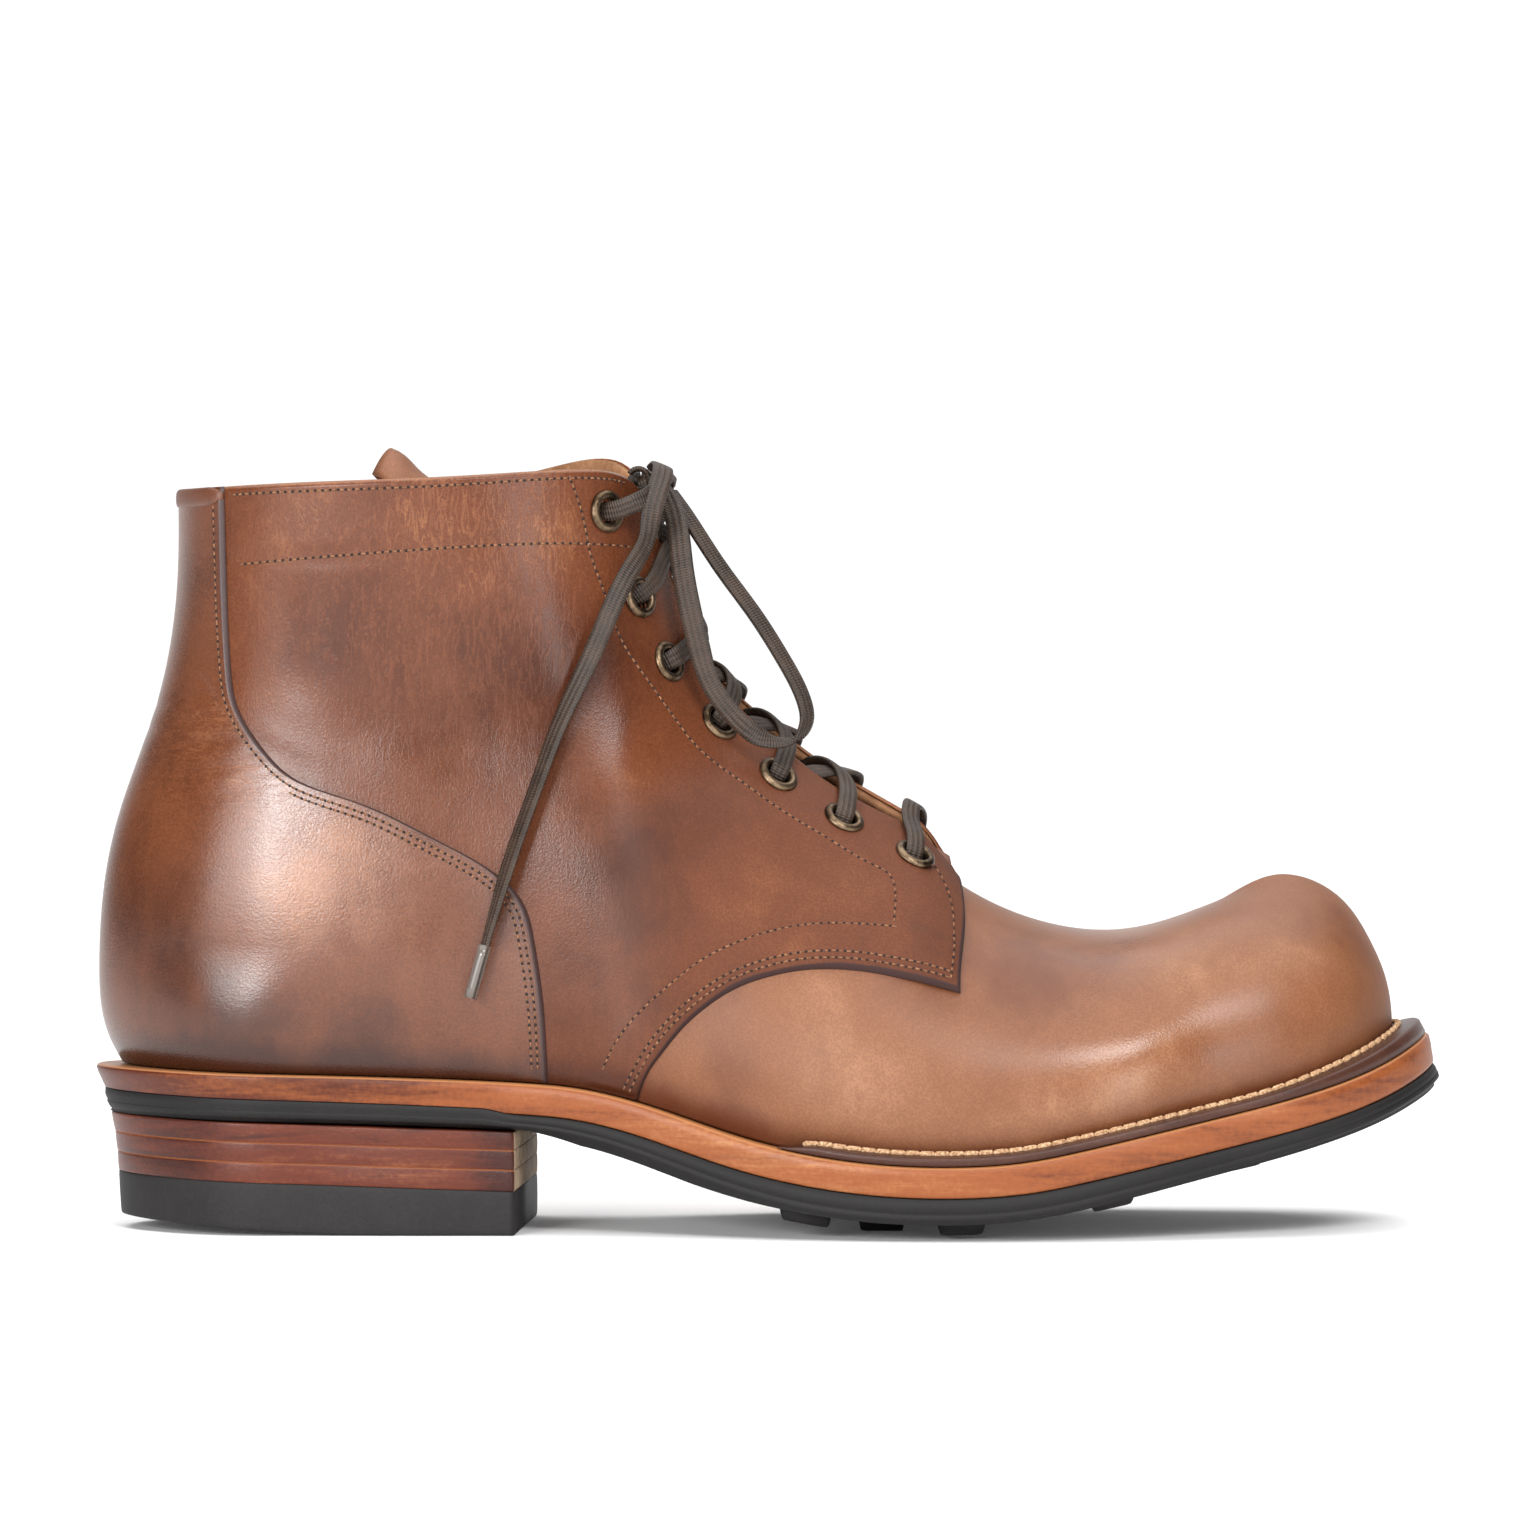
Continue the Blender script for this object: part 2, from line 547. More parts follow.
class Finish:
    """A material of one Principled shader, built from nodes."""

    def __init__(self, name, colour, **constants):
        self.material = bpy.data.materials.new(name)
        self.material.use_nodes = True
        self.tree = self.material.node_tree
        self.shader = self.tree.nodes["Principled BSDF"]
        self.shader.inputs["Base Color"].default_value = (*colour, 1)
        for word, value in constants.items():
            self.shader.inputs[word.replace("_", " ").title().replace("Ior", "IOR")].default_value = value

    def node(self, kind, settings, inputs, output=0):
        made = self.tree.nodes.new(kind)
        for word, value in settings.items():
            setattr(made, word, value)
        for word, value in inputs.items():
            socket = made.inputs[word]
            if isinstance(value, Value):
                self.tree.links.new(value.socket, socket)
            else:
                socket.default_value = value
        return Value(self, made.outputs[output])

    def place(self, stretch=(1, 1, 1)):
        spot = self.node("ShaderNodeTexCoord", {}, {}, "Object")
        return self.node("ShaderNodeMapping", {}, {"Vector": spot, "Scale": stretch})

    def field(self, name):
        return self.node("ShaderNodeAttribute", {"attribute_name": name}, {}, "Fac")

    def noise(self, scale, detail=4.0, rough=0.55, stretch=(1, 1, 1), warp=0.0):
        inputs = {"Vector": self.place(stretch), "Scale": scale, "Detail": detail}
        inputs |= {"Roughness": rough, "Distortion": warp}
        return self.node("ShaderNodeTexNoise", {}, inputs, "Fac")

    def cells(self, scale):
        return self.node("ShaderNodeTexVoronoi", {}, {"Vector": self.place(), "Scale": scale}, "Distance")

    def ramp(self, value, low, high, to_low=0.0, to_high=1.0):
        inputs = {"Value": value, "From Min": low, "From Max": high, "To Min": to_low, "To Max": to_high}
        return self.node("ShaderNodeMapRange", {"interpolation_type": "SMOOTHSTEP"}, inputs)

    def mix(self, share, first, second):
        inputs = {0: share, 6: first if isinstance(first, Value) else (*first, 1)}
        inputs[7] = second if isinstance(second, Value) else (*second, 1)
        return self.node("ShaderNodeMix", {"data_type": "RGBA"}, inputs, 2)

    def feed(self, word, value):
        self.tree.links.new(value.socket, self.shader.inputs[word])

    def bump(self, height, depth, strength=1.0):
        inputs = {"Height": height, "Strength": strength, "Distance": depth}
        self.feed("Normal", self.node("ShaderNodeBump", {}, inputs))


def srgb(r, g, b):
    """A colour as it shows on a screen, 0 to 255, in the shader's linear values."""
    c = np.array([r, g, b]) / 255
    return tuple(np.where(c <= 0.04045, c / 12.92, ((c + 0.055) / 1.055) ** 2.4))


# In the finishes below, a noise's scale counts its features a metre and a bump's depth is in metres.
CUT_EDGE = srgb(58, 40, 38)


def pull_up_leather(name, deep, mid, pale, run, shine):
    """Oiled leather: clouds of tone, fine grain, dark cut edges; run stretches the fine wrinkles."""
    f = Finish(name, mid, roughness=0.3, specular_ior_level=shine)
    cloud = f.noise(20, 4, 0.55, warp=0.6)
    smear = f.noise(75, 4, 0.55, (1, 1, 0.7), 0.4)
    fold = f.field("fold")
    wrinkle = f.noise(460, 2, 0.5, run, 0.8) - 0.5
    veins = (1 - f.ramp(wrinkle * wrinkle, 0.0, 0.0025)) * fold
    speck, grain = f.noise(1700, 3, 0.6), f.cells(1900)
    patch = f.field("tone") * (0.3 + cloud * 1.4)
    tone = patch + (cloud - 0.5) * 0.9 + (smear - 0.5) * 0.8 + (veins - fold * 0.2) * 0.2
    colour = f.mix(f.ramp(tone, -0.6, 0.12), deep, mid)
    colour = f.mix(f.ramp(tone, 0.05, 0.7), colour, pale)
    pores = f.ramp(speck * 0.6 + grain * 0.5, 0.36, 0.76)
    colour = f.mix(0.34 - pores * 0.34, colour, deep)
    rim = f.field("rim")
    painted = 1 - f.ramp(rim + (smear - 0.5) * 0.9, 0.75, 1.25)
    colour = f.mix((1 - f.ramp(rim, 0.8, 5.0)) * 0.35, colour, deep)
    colour = f.mix(painted, colour, CUT_EDGE)
    f.feed("Base Color", colour)
    wear = (smear - 0.5) * 0.14 + (speck - 0.5) * 0.12 + painted * 0.2
    f.feed("Roughness", 0.78 - f.field("gloss") * 0.5 + wear)
    f.bump(grain * 0.5 + speck * 0.45 + veins * 0.9, 0.0004, 0.1)
    return f.material


def edge_leather(name, deep, mid, pale, streak):
    """A burnished leather edge: fibres run along it, with dark streaks."""
    f = Finish(name, mid, roughness=0.34, specular_ior_level=0.3)
    fibre = f.noise(230, 6, 0.7, (0.25, 0.25, 2.2), 0.3)
    cloud = f.noise(38, 5, 0.65, (0.35, 0.35, 2.5), 0.4)
    speck = f.noise(900, 2, 0.6)
    tone = fibre * 0.45 + cloud * 0.75 + speck * 0.2 + f.field("tone")
    colour = f.mix(f.ramp(tone, 0.42, 0.72), deep, mid)
    colour = f.mix(f.ramp(tone, 0.7, 1.0), colour, pale)
    soot = f.ramp(f.noise(30, 5, 0.7, (0.4, 0.4, 4.0), 0.6), 0.55, 0.72) * streak
    colour = f.mix(soot, colour, srgb(58, 26, 20))
    colour = f.mix(0.8 - f.ramp(f.field("rim"), 0.12, 0.4, 0.0, 0.8), colour, pale)
    f.feed("Base Color", colour)
    f.feed("Roughness", 0.3 + fibre * 0.16)
    f.bump(fibre * 0.6 + speck * 0.4, 0.00035, 0.45)
    return f.material


def rubber(name, colour, dusty):
    f = Finish(name, colour, roughness=0.62, specular_ior_level=0.35)
    mould, speck = f.noise(130, 5, 0.65), f.noise(1300, 2, 0.5)
    f.feed("Base Color", f.mix(f.ramp(mould * 0.7 + speck * 0.4, 0.35, 0.8), colour, dusty))
    f.feed("Roughness", 0.55 + mould * 0.16)
    f.bump(speck * 0.7 + mould * 0.3, 0.0002, 0.4)
    return f.material


def raw_leather(name, deep, mid, grain):
    """Flesh side, lining or a raw cut: matt and fibrous."""
    f = Finish(name, mid, roughness=0.8, specular_ior_level=0.25)
    nap, cloud = f.noise(grain, 6, 0.7), f.noise(40, 4, 0.6)
    f.feed("Base Color", f.mix(f.ramp(nap * 0.5 + cloud * 0.5, 0.32, 0.68), deep, mid))
    f.feed("Roughness", 0.7 + nap * 0.2)
    f.bump(nap, 0.0005, 0.6)
    return f.material


def aged_brass():
    f = Finish("aged_brass_eyelet", srgb(138, 112, 82), metallic=1.0, roughness=0.36)
    stain, scratch = f.noise(260, 5, 0.65), f.noise(1600, 2, 0.5)
    f.feed("Base Color", f.mix(f.ramp(stain, 0.36, 0.66), srgb(64, 50, 38), srgb(130, 110, 88)))
    f.feed("Roughness", 0.26 + stain * 0.25)
    f.bump(scratch, 0.0001, 0.3)
    return f.material


def waxed_lace():
    """Flat woven cotton: a diagonal weave along the lace, with wax in its threads."""
    f = Finish("waxed_lace", srgb(84, 72, 62), roughness=0.5, specular_ior_level=0.4)
    along, across = f.field("along") * 5.0, f.field("across") * 5.6
    weave = (along + across).sine() * (along - across).sine()
    fuzz, wear = f.noise(2600, 2, 0.6), f.noise(150, 4, 0.6)
    shade = weave * 0.18 + fuzz * 0.55 + wear * 0.75
    f.feed("Base Color", f.mix(f.ramp(shade, 0.2, 1.0), srgb(16, 11, 8), srgb(68, 52, 41)))
    f.feed("Roughness", 0.36 + fuzz * 0.25)
    f.bump(weave * 0.6 + fuzz * 0.5, 0.0003, 0.6)
    return f.material


def thread(name, dark, light):
    f = Finish(name, dark, roughness=0.7, specular_ior_level=0.3)
    twist = f.noise(1900, 3, 0.6)
    f.feed("Base Color", f.mix(f.ramp(twist, 0.35, 0.7), dark, light))
    f.bump(twist, 0.0002, 0.5)
    return f.material


UPRIGHT, LEVEL = (1.5, 1.5, 0.3), (0.35, 0.35, 1.7)
QUARTER_LEATHER = pull_up_leather(
    "quarter_leather", srgb(62, 29, 15), srgb(100, 55, 33), srgb(140, 90, 58), UPRIGHT, 0.28
)
COUNTER_LEATHER = pull_up_leather(
    "counter_leather", srgb(54, 24, 12), srgb(104, 58, 34), srgb(148, 98, 66), LEVEL, 0.55
)
VAMP_LEATHER = pull_up_leather(
    "vamp_leather", srgb(88, 43, 20), srgb(125, 79, 50), srgb(158, 113, 81), UPRIGHT, 0.4
)
TONGUE_LEATHER = pull_up_leather(
    "tongue_leather", srgb(90, 50, 32), srgb(136, 90, 64), srgb(164, 120, 92), UPRIGHT, 0.25
)
LINING = raw_leather("lining_leather", srgb(112, 74, 48), srgb(160, 118, 84), 500)
SOCK = raw_leather("sock_leather", srgb(140, 100, 68), srgb(184, 140, 102), 380)
RAW_CUT = raw_leather("raw_breast", srgb(104, 86, 68), srgb(172, 150, 126), 420)
MIDSOLE_EDGE = edge_leather("midsole_edge", srgb(80, 34, 18), srgb(137, 75, 38), srgb(170, 114, 70), 0.4)
HEEL_EDGE = edge_leather("heel_edge", srgb(54, 20, 13), srgb(91, 40, 24), srgb(150, 90, 54), 0.9)
WELT_EDGE = edge_leather("welt_edge", srgb(38, 20, 15), srgb(66, 38, 28), srgb(100, 64, 44), 0.2)
OUTSOLE_RUBBER = rubber("outsole_rubber", srgb(11, 9, 9), srgb(21, 18, 18))
LUG_RUBBER = rubber("lug_rubber", srgb(22, 20, 20), srgb(34, 31, 31))
BRASS = aged_brass()
LACE = waxed_lace()
DARK_THREAD = thread("upper_thread", srgb(92, 58, 38), srgb(150, 108, 78))
WELT_THREAD = thread("welt_thread", srgb(146, 104, 70), srgb(214, 180, 142))
HOLE = Finish("needle_hole", srgb(34, 20, 15), roughness=0.9).material
AGLET = Finish("lace_tip", srgb(96, 88, 82), roughness=0.3, coat_weight=0.4).material

# Soft clouds of tone, placed by hand: x, height, radius, strength (minus is darker).
QUARTER_CLOUDS = (
    (112, 128, 16, -0.35), (62, 122, 22, -0.25), (96, 112, 18, -0.15), (118, 92, 14, -0.3),
    (139, 98, 13, -0.25), (150, 72, 20, 0.1), (44, 150, 16, 0.05), (56, 142, 14, -0.2), (126, 78, 14, -0.2),
    (178, 74, 16, 0.1), (80, 160, 18, 0.05), (104, 158, 8, 0.25), (90, 134, 14, -0.2), (124, 104, 8, 0.35),
    (112, 60, 12, -0.1),
)
COUNTER_CLOUDS = (
    (48, 84, 20, 0.5), (16, 70, 16, -0.25), (84, 56, 18, 0.15), (30, 46, 20, -0.4),
    (22, 112, 12, -0.1), (96, 74, 8, -0.2), (70, 46, 16, -0.2),
)
VAMP_CLOUDS = (
    (176, 40, 24, 0.25), (186, 54, 12, -0.25), (150, 38, 14, -0.25), (209, 56, 18, -0.35),
    (236, 46, 18, 0.2), (268, 66, 18, 0.25), (214, 34, 20, 0.1), (140, 44, 8, 0.1),
    (228, 58, 12, -0.2), (264, 42, 14, -0.12),
)
# Where the vamp is polished, in the same terms.
VAMP_POLISH = ((238, 49, 36, 0.6),)


def tone_at(points, clouds):
    tone = np.zeros(len(points))
    for x, z, radius, strength in clouds:
        tone += strength * np.exp(-((points[:, 0] - x) ** 2 + (points[:, 2] - z) ** 2) / radius**2)
    return tone


def low_tone(points):
    """Darker where the leather turns in over the sole."""
    return -0.45 * (1 - smooth((points[:, 2] - sole_line(points[:, 0]) - 1.0) / 9.0))


def bevel(distance):
    """Share of a layer's height at a distance from its cut edge."""
    t = np.clip(distance / CUT_BEVEL, 0, 1)
    return 0.08 + 0.92 * np.sin(t * math.pi / 2) ** 0.9


def edge_shares(low, high, length, count):
    """Shares of a rib from low to high, close together at both ends."""
    steps = EDGE_STEPS[None] / length[:, None]
    steps = np.minimum(steps, (high - low)[:, None] * 0.3 * EDGE_STEPS[None] / EDGE_STEPS[-1])
    first, last = low[:, None] + steps, high[:, None] - steps[:, ::-1]
    t = np.linspace(0, 1, count + 2)[None, 1:-1]
    middle = first[:, -1:] + (last[:, :1] - first[:, -1:]) * t
    return np.concatenate([first, middle, last], axis=1)


FAR_BELOW = -50.0


def edge_crossing(us, outline, side, out):
    """The share of each rib at which a side outline (x to height) crosses it."""
    vs = np.linspace(0, 1, 121)
    p = surface(us, np.tile(vs, (len(us), 1)), side, out)
    line = np.where(p[..., 0] < outline[0, 0], FAR_BELOW, read(outline, p[..., 0]))
    return np.array([float(np.interp(0, row, vs)) for row in p[..., 2] - line])


# Part of the boot in which a quarter's lower edge leaves the sole.
QUARTER_LEAVES = (0.3, 0.5)


def quarter_start(side):
    """Where the quarter's lower edge leaves the sole."""
    us = np.linspace(*QUARTER_LEAVES, 200)
    x = surface(us, np.zeros((len(us), 1)), side, QUARTER_OUT)[:, 0, 0]
    edge_x = np.interp(sole_line(x), QUARTER_EDGE[:4, 1], QUARTER_EDGE[:4, 0])
    return float(np.interp(0, x - edge_x, us))


EYELET_BORE, BORE_DEEP = 3.5, 6.0


def eyelet_places():
    """(centre, outward direction) of each eyelet: {side: [7]}."""
    return {side: list(zip(*on_side(EYELETS, side, QUARTER_OUT))) for side, _ in SIDES}


PLACED = eyelet_places()

# Outer points of the built layers, for their stitches: {(layer, side): points}.
SKINS = {}


def over_vamp(points, side):
    """How far points near the throat lie over the vamp's surface."""
    us = np.linspace(CLOSES - 0.05, CLOSES + 0.07, 70)
    vs = np.tile(np.linspace(0.2, 1, 240), (len(us), 1))
    vamp, n = (part.reshape(-1, 3) for part in skin(us, vs, side, "vamp"))
    flat = points.reshape(-1, 3)
    near = [((vamp - q) ** 2).sum(axis=1).argmin() for q in flat]
    return ((flat - vamp[near]) * n[near]).sum(axis=1).reshape(points.shape[:-1])


def snap(points, ups, layer, neighbours=6):
    """Points moved along their outward directions onto a built layer."""
    moved = points.copy()
    for i, (q, up) in enumerate(zip(points, ups)):
        away = ((layer - q) ** 2).sum(axis=1)
        near = np.argpartition(away, neighbours)[:neighbours]
        weight = 1 / (away[near] + 0.05)
        moved[i] += up * float((weight * ((layer[near] - q) @ up)).sum() / weight.sum())
    return moved


def without_holes(points, faces, side):
    """Faces that don't lie in an eyelet's bore."""
    faces = np.array(faces)
    middle = points[faces].mean(axis=1)
    keep = np.ones(len(faces), bool)
    for at, d in PLACED[side]:
        off = middle - at
        deep = off @ d
        keep &= (np.linalg.norm(off - deep[:, None] * d, axis=1) > EYELET_BORE) | (np.abs(deep) > BORE_DEEP)
    return faces[keep].tolist()


# The quarter: its first place, how far its front edge leans forward and seats on the vamp, how much the vamp
# under it and the cuff's stitching shape it, its least thickness, and a rim value for no edge near.
QUARTER_BACK = 0.04
FRONT_LEAN, FRONT_LEAN_LONG, LEAN_FROM, LEAN_OVER = 1.8, 9.0, 58, 18
FRONT_SEAT, SEAT_CLEAR, SEAT_SHARE = 11.0, 0.1, 0.85
LAP_LIFT, LAP_SOFT = 0.55, 2.4
CUFF_DIP, CUFF_HALF = 0.28, 0.9
LEAST_LEATHER = 0.08
NO_EDGE = 99.0
# Its wrinkles gather under the collar, round one x, and it is duller in front, below the facing.
WRINKLE_FROM, WRINKLE_OVER, WRINKLE_X, WRINKLE_LONG = 105, 35, 82, 24
DULL_X, DULL_LONG, DULL_HIGH, DULL_TALL = 112, 26, 112, 24


def collar_share(from_front, length, under=0.0):
    """Share of each rib at which the collar ends, rounded down at the front corner."""
    t = np.clip(1 - from_front / CORNER_LONG, 0, 1)
    return 1 - (under + CORNER_TALL * (1 - np.sqrt(1 - t * t))) / length


def lap_height(x, z):
    """How much the vamp lifts the quarter, below the seam that holds both."""
    seam = np.where(x < VAMP_SEAM[0, 0], 20.0, read(VAMP_SEAM, np.clip(x, 110, 200)))
    return LAP_LIFT * smooth((seam - z + LAP_SOFT / 2) / LAP_SOFT) * (z > sole_line(x) + 2)


def cuff_groove(x, z):
    """How far the stitching draws the leather in along the cuff."""
    off = (z - read(CUFF_SEAM, np.clip(x, 35, 124))) / CUFF_HALF
    return CUFF_DIP * np.exp(-off * off)


def both_skins(values):
    """Values of an outer grid, repeated for the inner one."""
    return np.tile(np.ravel(values), 2)


def build_quarter(side, word):
    start = quarter_start(side)
    front = FRONT - EDGE_STEPS[::-1] / AROUND
    us = np.concatenate(
        [
            np.linspace(QUARTER_BACK, start - 0.012, 84),
            np.linspace(start - 0.008, start + 0.03, 24),
            np.linspace(start + 0.034, front[0] - 0.004, 80),
            front,
        ]
    )
    length = rib_lengths(us, side, "quarter")
    lapped = us > start
    low = np.where(lapped, edge_crossing(us, QUARTER_EDGE, side, QUARTER_OUT), 0.0)
    from_front = (FRONT - us) * AROUND
    high = collar_share(from_front, length)
    vs = edge_shares(low, high, length, 62)
    to_low = np.where(lapped[:, None], (vs - low[:, None]) * length[:, None], NO_EDGE)
    to_high = (high[:, None] - vs) * length[:, None]
    rim = np.minimum(to_low, from_front[:, None])
    edge = np.minimum(rim, to_high)

    base, n = skin(us, vs, side, "quarter")
    lean = FRONT_LEAN * smooth(1 - from_front / FRONT_LEAN_LONG)
    base[..., 0] += lean[:, None] * smooth((base[..., 2] - LEAN_FROM) / LEAN_OVER)
    seat = np.zeros(vs.shape)
    near = from_front < FRONT_SEAT
    lift = np.maximum(over_vamp(base[near], side) - SEAT_CLEAR, 0) * SEAT_SHARE
    seat[near] = lift * smooth(1 - from_front[near] / FRONT_SEAT)[:, None]
    x, z = base[..., 0], base[..., 2]
    puff = crease_height(x, z, QUARTER_CREASES) + lap_height(x, z) - cuff_groove(x, z)
    outer = QUARTER_IN + (QUARTER_OUT - QUARTER_IN) * bevel(edge) + puff * np.clip(edge / 3, 0, 1) - seat
    inner = np.minimum(QUARTER_IN - seat, outer - LEAST_LEATHER)
    points = np.concatenate([above_sole(base + n * out[..., None]) for out in (outer, inner)]).reshape(-1, 3)

    worn_collar = 0.7 * smooth(1 - to_high / 0.9)
    tone = tone_at(points, QUARTER_CLOUDS) + low_tone(points) + both_skins(worn_collar)
    gathered = 0.35 + 0.75 * smooth(1.6 - np.abs(x - WRINKLE_X) / WRINKLE_LONG)
    fold = 0.25 + smooth((z - WRINKLE_FROM) / WRINKLE_OVER) * gathered
    gloss = 1 - 0.9 * smooth((x - DULL_X) / DULL_LONG) * smooth((DULL_HIGH - z) / DULL_TALL)
    fields = {"rim": both_skins(rim), "tone": tone, "fold": both_skins(fold), "gloss": both_skins(gloss)}
    SKINS["quarter", side] = points[: vs.size]
    faces = without_holes(points, wall_faces(*vs.shape), side)
    make(f"quarter_{word}", points, faces, QUARTER_LEATHER, fields=fields)


# The vamp: how far it runs back under the quarter, how it is rounded on the middle line, from which place
# forward it isn't, and how near its points are welded there.
VAMP_BACK = 0.028
RIDGE_SOFT, RIDGE_PULL = 9.0, 8
RIDGE_ENDS, RIDGE_FADE = 0.83, 0.07
VAMP_WELD = 0.02


def round_ridge(rows):
    """Bend each line of points, whose last one lies on the middle line, to meet its mirror without a fold."""
    ridge = rows[:, -1]
    run = unit(np.gradient(ridge, axis=0))
    off = np.stack([-run[:, 2], 0 * run[:, 0], run[:, 0]], axis=1)
    last = rows[:, -1] - rows[:, -2]
    slope = (last * off).sum(axis=1) / np.maximum(np.linalg.norm(last, axis=1), 1e-3)
    far = np.linalg.norm(rows - ridge[:, None], axis=2)
    return rows + (slope[:, None] * far * np.exp(-far / RIDGE_SOFT))[..., None] * off[:, None]


def build_vamp():
    """Both halves of the vamp, which meet on one middle line over the toe."""
    parts, inside = [], []
    for side, _ in SIDES:
        us = np.concatenate(
            [
                np.linspace(quarter_start(side) - VAMP_BACK, CLOSES, 74),
                np.linspace(CLOSES + 0.006, 0.87, 62),
                np.linspace(0.875, 1, 44),
            ]
        )
        length = rib_lengths(us, side, "vamp")
        seam = np.maximum(edge_crossing(np.minimum(us, THROAT), VAMP_SEAM, side, 0.0), 6 / length)
        top = np.where(us < CLOSES, seam + (1 - seam) * smooth((us - CLOSES + 0.03) / 0.03), 1.0)
        vs = np.linspace(0, 1, 84) * top[:, None]
        base, n = skin(us, vs, side, "vamp")
        ridge = (us >= CLOSES) & (us < 1)
        n[ridge, -1, 1] = 0
        ends = [sheet(us[ridge], np.ones((ridge.sum(), 1)), half, "vamp")[:, 0] for half, _ in SIDES]
        middle_line = (ends[0] + ends[1]) / 2
        base[ridge] += (middle_line - base[ridge, -1])[:, None] * (vs[ridge] ** RIDGE_PULL)[..., None]
        fade = smooth((RIDGE_ENDS - us[ridge]) / RIDGE_FADE)[:, None, None]
        base[ridge] += fade * (round_ridge(base[ridge]) - base[ridge])
        n[-1, -1] = n[-2, -1]
        n = unit(n)
        puff = crease_height(base[..., 0], base[..., 2], VAMP_CREASES) * smooth((1 - vs) / 0.1)
        points = [above_sole(base + n * out) for out in (puff[..., None], VAMP_IN)]
        parts.append((np.concatenate(points).reshape(-1, 3), wall_faces(*vs.shape)))
        on_middle = np.zeros((2, *vs.shape), bool)
        on_middle[:, us >= CLOSES, -1] = on_middle[:, -1] = True
        inside.append(on_middle.ravel())
    points, faces = joined(parts)
    inside = np.concatenate(inside)
    seen = [f for f in faces if not inside[f].all() and np.ptp(points[f], axis=0).max() > 1e-4]
    tone, gloss = tone_at(points, VAMP_CLOUDS) + low_tone(points), 0.5 + tone_at(points, VAMP_POLISH)
    fields = {"tone": tone, "fold": 0.12, "rim": NO_EDGE, "gloss": gloss}
    make("vamp", points, seen, VAMP_LEATHER, ("upper",), VAMP_WELD, fields=fields)


COUNTER_CURVE = even(COUNTER_EDGE, 1.0)
# Where the counter's wrinkles gather: x, height, radius.
COUNTER_WRINKLES = (26, 110, 17)
BACK_STEPS = np.linspace(0, 1, 64)


def counter_reach(vs, side):
    """The place along the boot where the counter's edge lies, for each share of height."""
    us = np.linspace(0, 0.5, 160)
    p = surface(us, np.tile(vs, (len(us), 1)), side, COUNTER_OUT)
    edge_x = np.interp(p[..., 2], COUNTER_CURVE[:, 1], COUNTER_CURVE[:, 0])
    return np.array([float(np.interp(0, row, us)) for row in (p[..., 0] - edge_x).T])


def build_counter():
    """The heel cover with its strip up the back seam, both sides in one."""
    vs = np.concatenate([np.linspace(0, 0.06, 10), np.linspace(0.07, 1, 150)])
    sides, rims = [], []
    for side, _ in SIDES:
        reach = counter_reach(vs, side)[:, None]
        near = np.minimum(EDGE_STEPS[::-1] / AROUND, reach * 0.5)
        back = BACK_STEPS * (reach - EDGE_STEPS[-1] / AROUND * 1.2)
        u = np.concatenate([back, reach - near], axis=1).T
        v = np.broadcast_to(vs, u.shape)
        rim = (reach.T - u) * AROUND
        base, n = (p.reshape(*u.shape, 3) for p in skin(u.ravel(), v.reshape(-1, 1), side, "quarter"))
        fold = crease_height(base[..., 0], base[..., 2], COUNTER_CREASES) * np.clip(rim / 3, 0, 1)
        thin_top = 1 - 0.5 * smooth((v - 0.975) / 0.025)
        out = COUNTER_IN + (COUNTER_OUT - COUNTER_IN) * bevel(rim) * thin_top + fold
        sides.append([above_sole(base + n * height) for height in (out[..., None], COUNTER_IN)])
        rims.append(rim)
    outer, inner = (np.concatenate([sides[0][i][::-1], sides[1][i][1:]]) for i in (0, 1))
    rim = np.concatenate([rims[0][::-1], rims[1][1:]])
    points = np.concatenate([outer, inner]).reshape(-1, 3)
    SKINS["counter", -1] = SKINS["counter", 1] = outer.reshape(-1, 3)
    x, z = points[:, 0], points[:, 2]
    tone = tone_at(points, COUNTER_CLOUDS) + low_tone(points)
    at_x, at_z, radius = COUNTER_WRINKLES
    fold = 0.12 + smooth(1.3 - np.hypot((x - at_x) / 1.5, z - at_z) / radius)
    fields = {"rim": both_skins(rim), "tone": tone, "fold": fold, "gloss": 1.0}
    faces = wall_faces(*outer.shape[:2])
    make("heel_counter", points, faces, COUNTER_LEATHER, ("counter",), fields=fields)


def tube(path, wide_dirs, wide, thick, sides, power):
    """(points, faces, along, across) of a flat band with closed ends; wide and thick are half sizes."""
    along = unit(np.gradient(path, axis=0))
    w = np.broadcast_to(wide_dirs, path.shape)
    w = unit(w - along * (w * along).sum(axis=1)[:, None])
    n = np.cross(w, along)
    a = circle(sides)
    c, s = (np.sign(t) * np.abs(t) ** power for t in (np.cos(a), np.sin(a)))
    wide, thick = (np.broadcast_to(half, len(path))[:, None] for half in (wide, thick))
    p = path[:, None] + w[:, None] * (c * wide)[..., None] + n[:, None] * (s * thick)[..., None]
    faces = ring_faces(len(path), sides)
    return p.reshape(-1, 3), faces, np.repeat(distances(path), sides), np.tile(c, len(path))


# The roll on the strip: distance under the collar's edge, out from the last, half height, half thickness.
ROLL_UNDER, ROLL_OUT, ROLL_TALL, ROLL_THICK = 2.1, 1.9, 2.2, 1.25


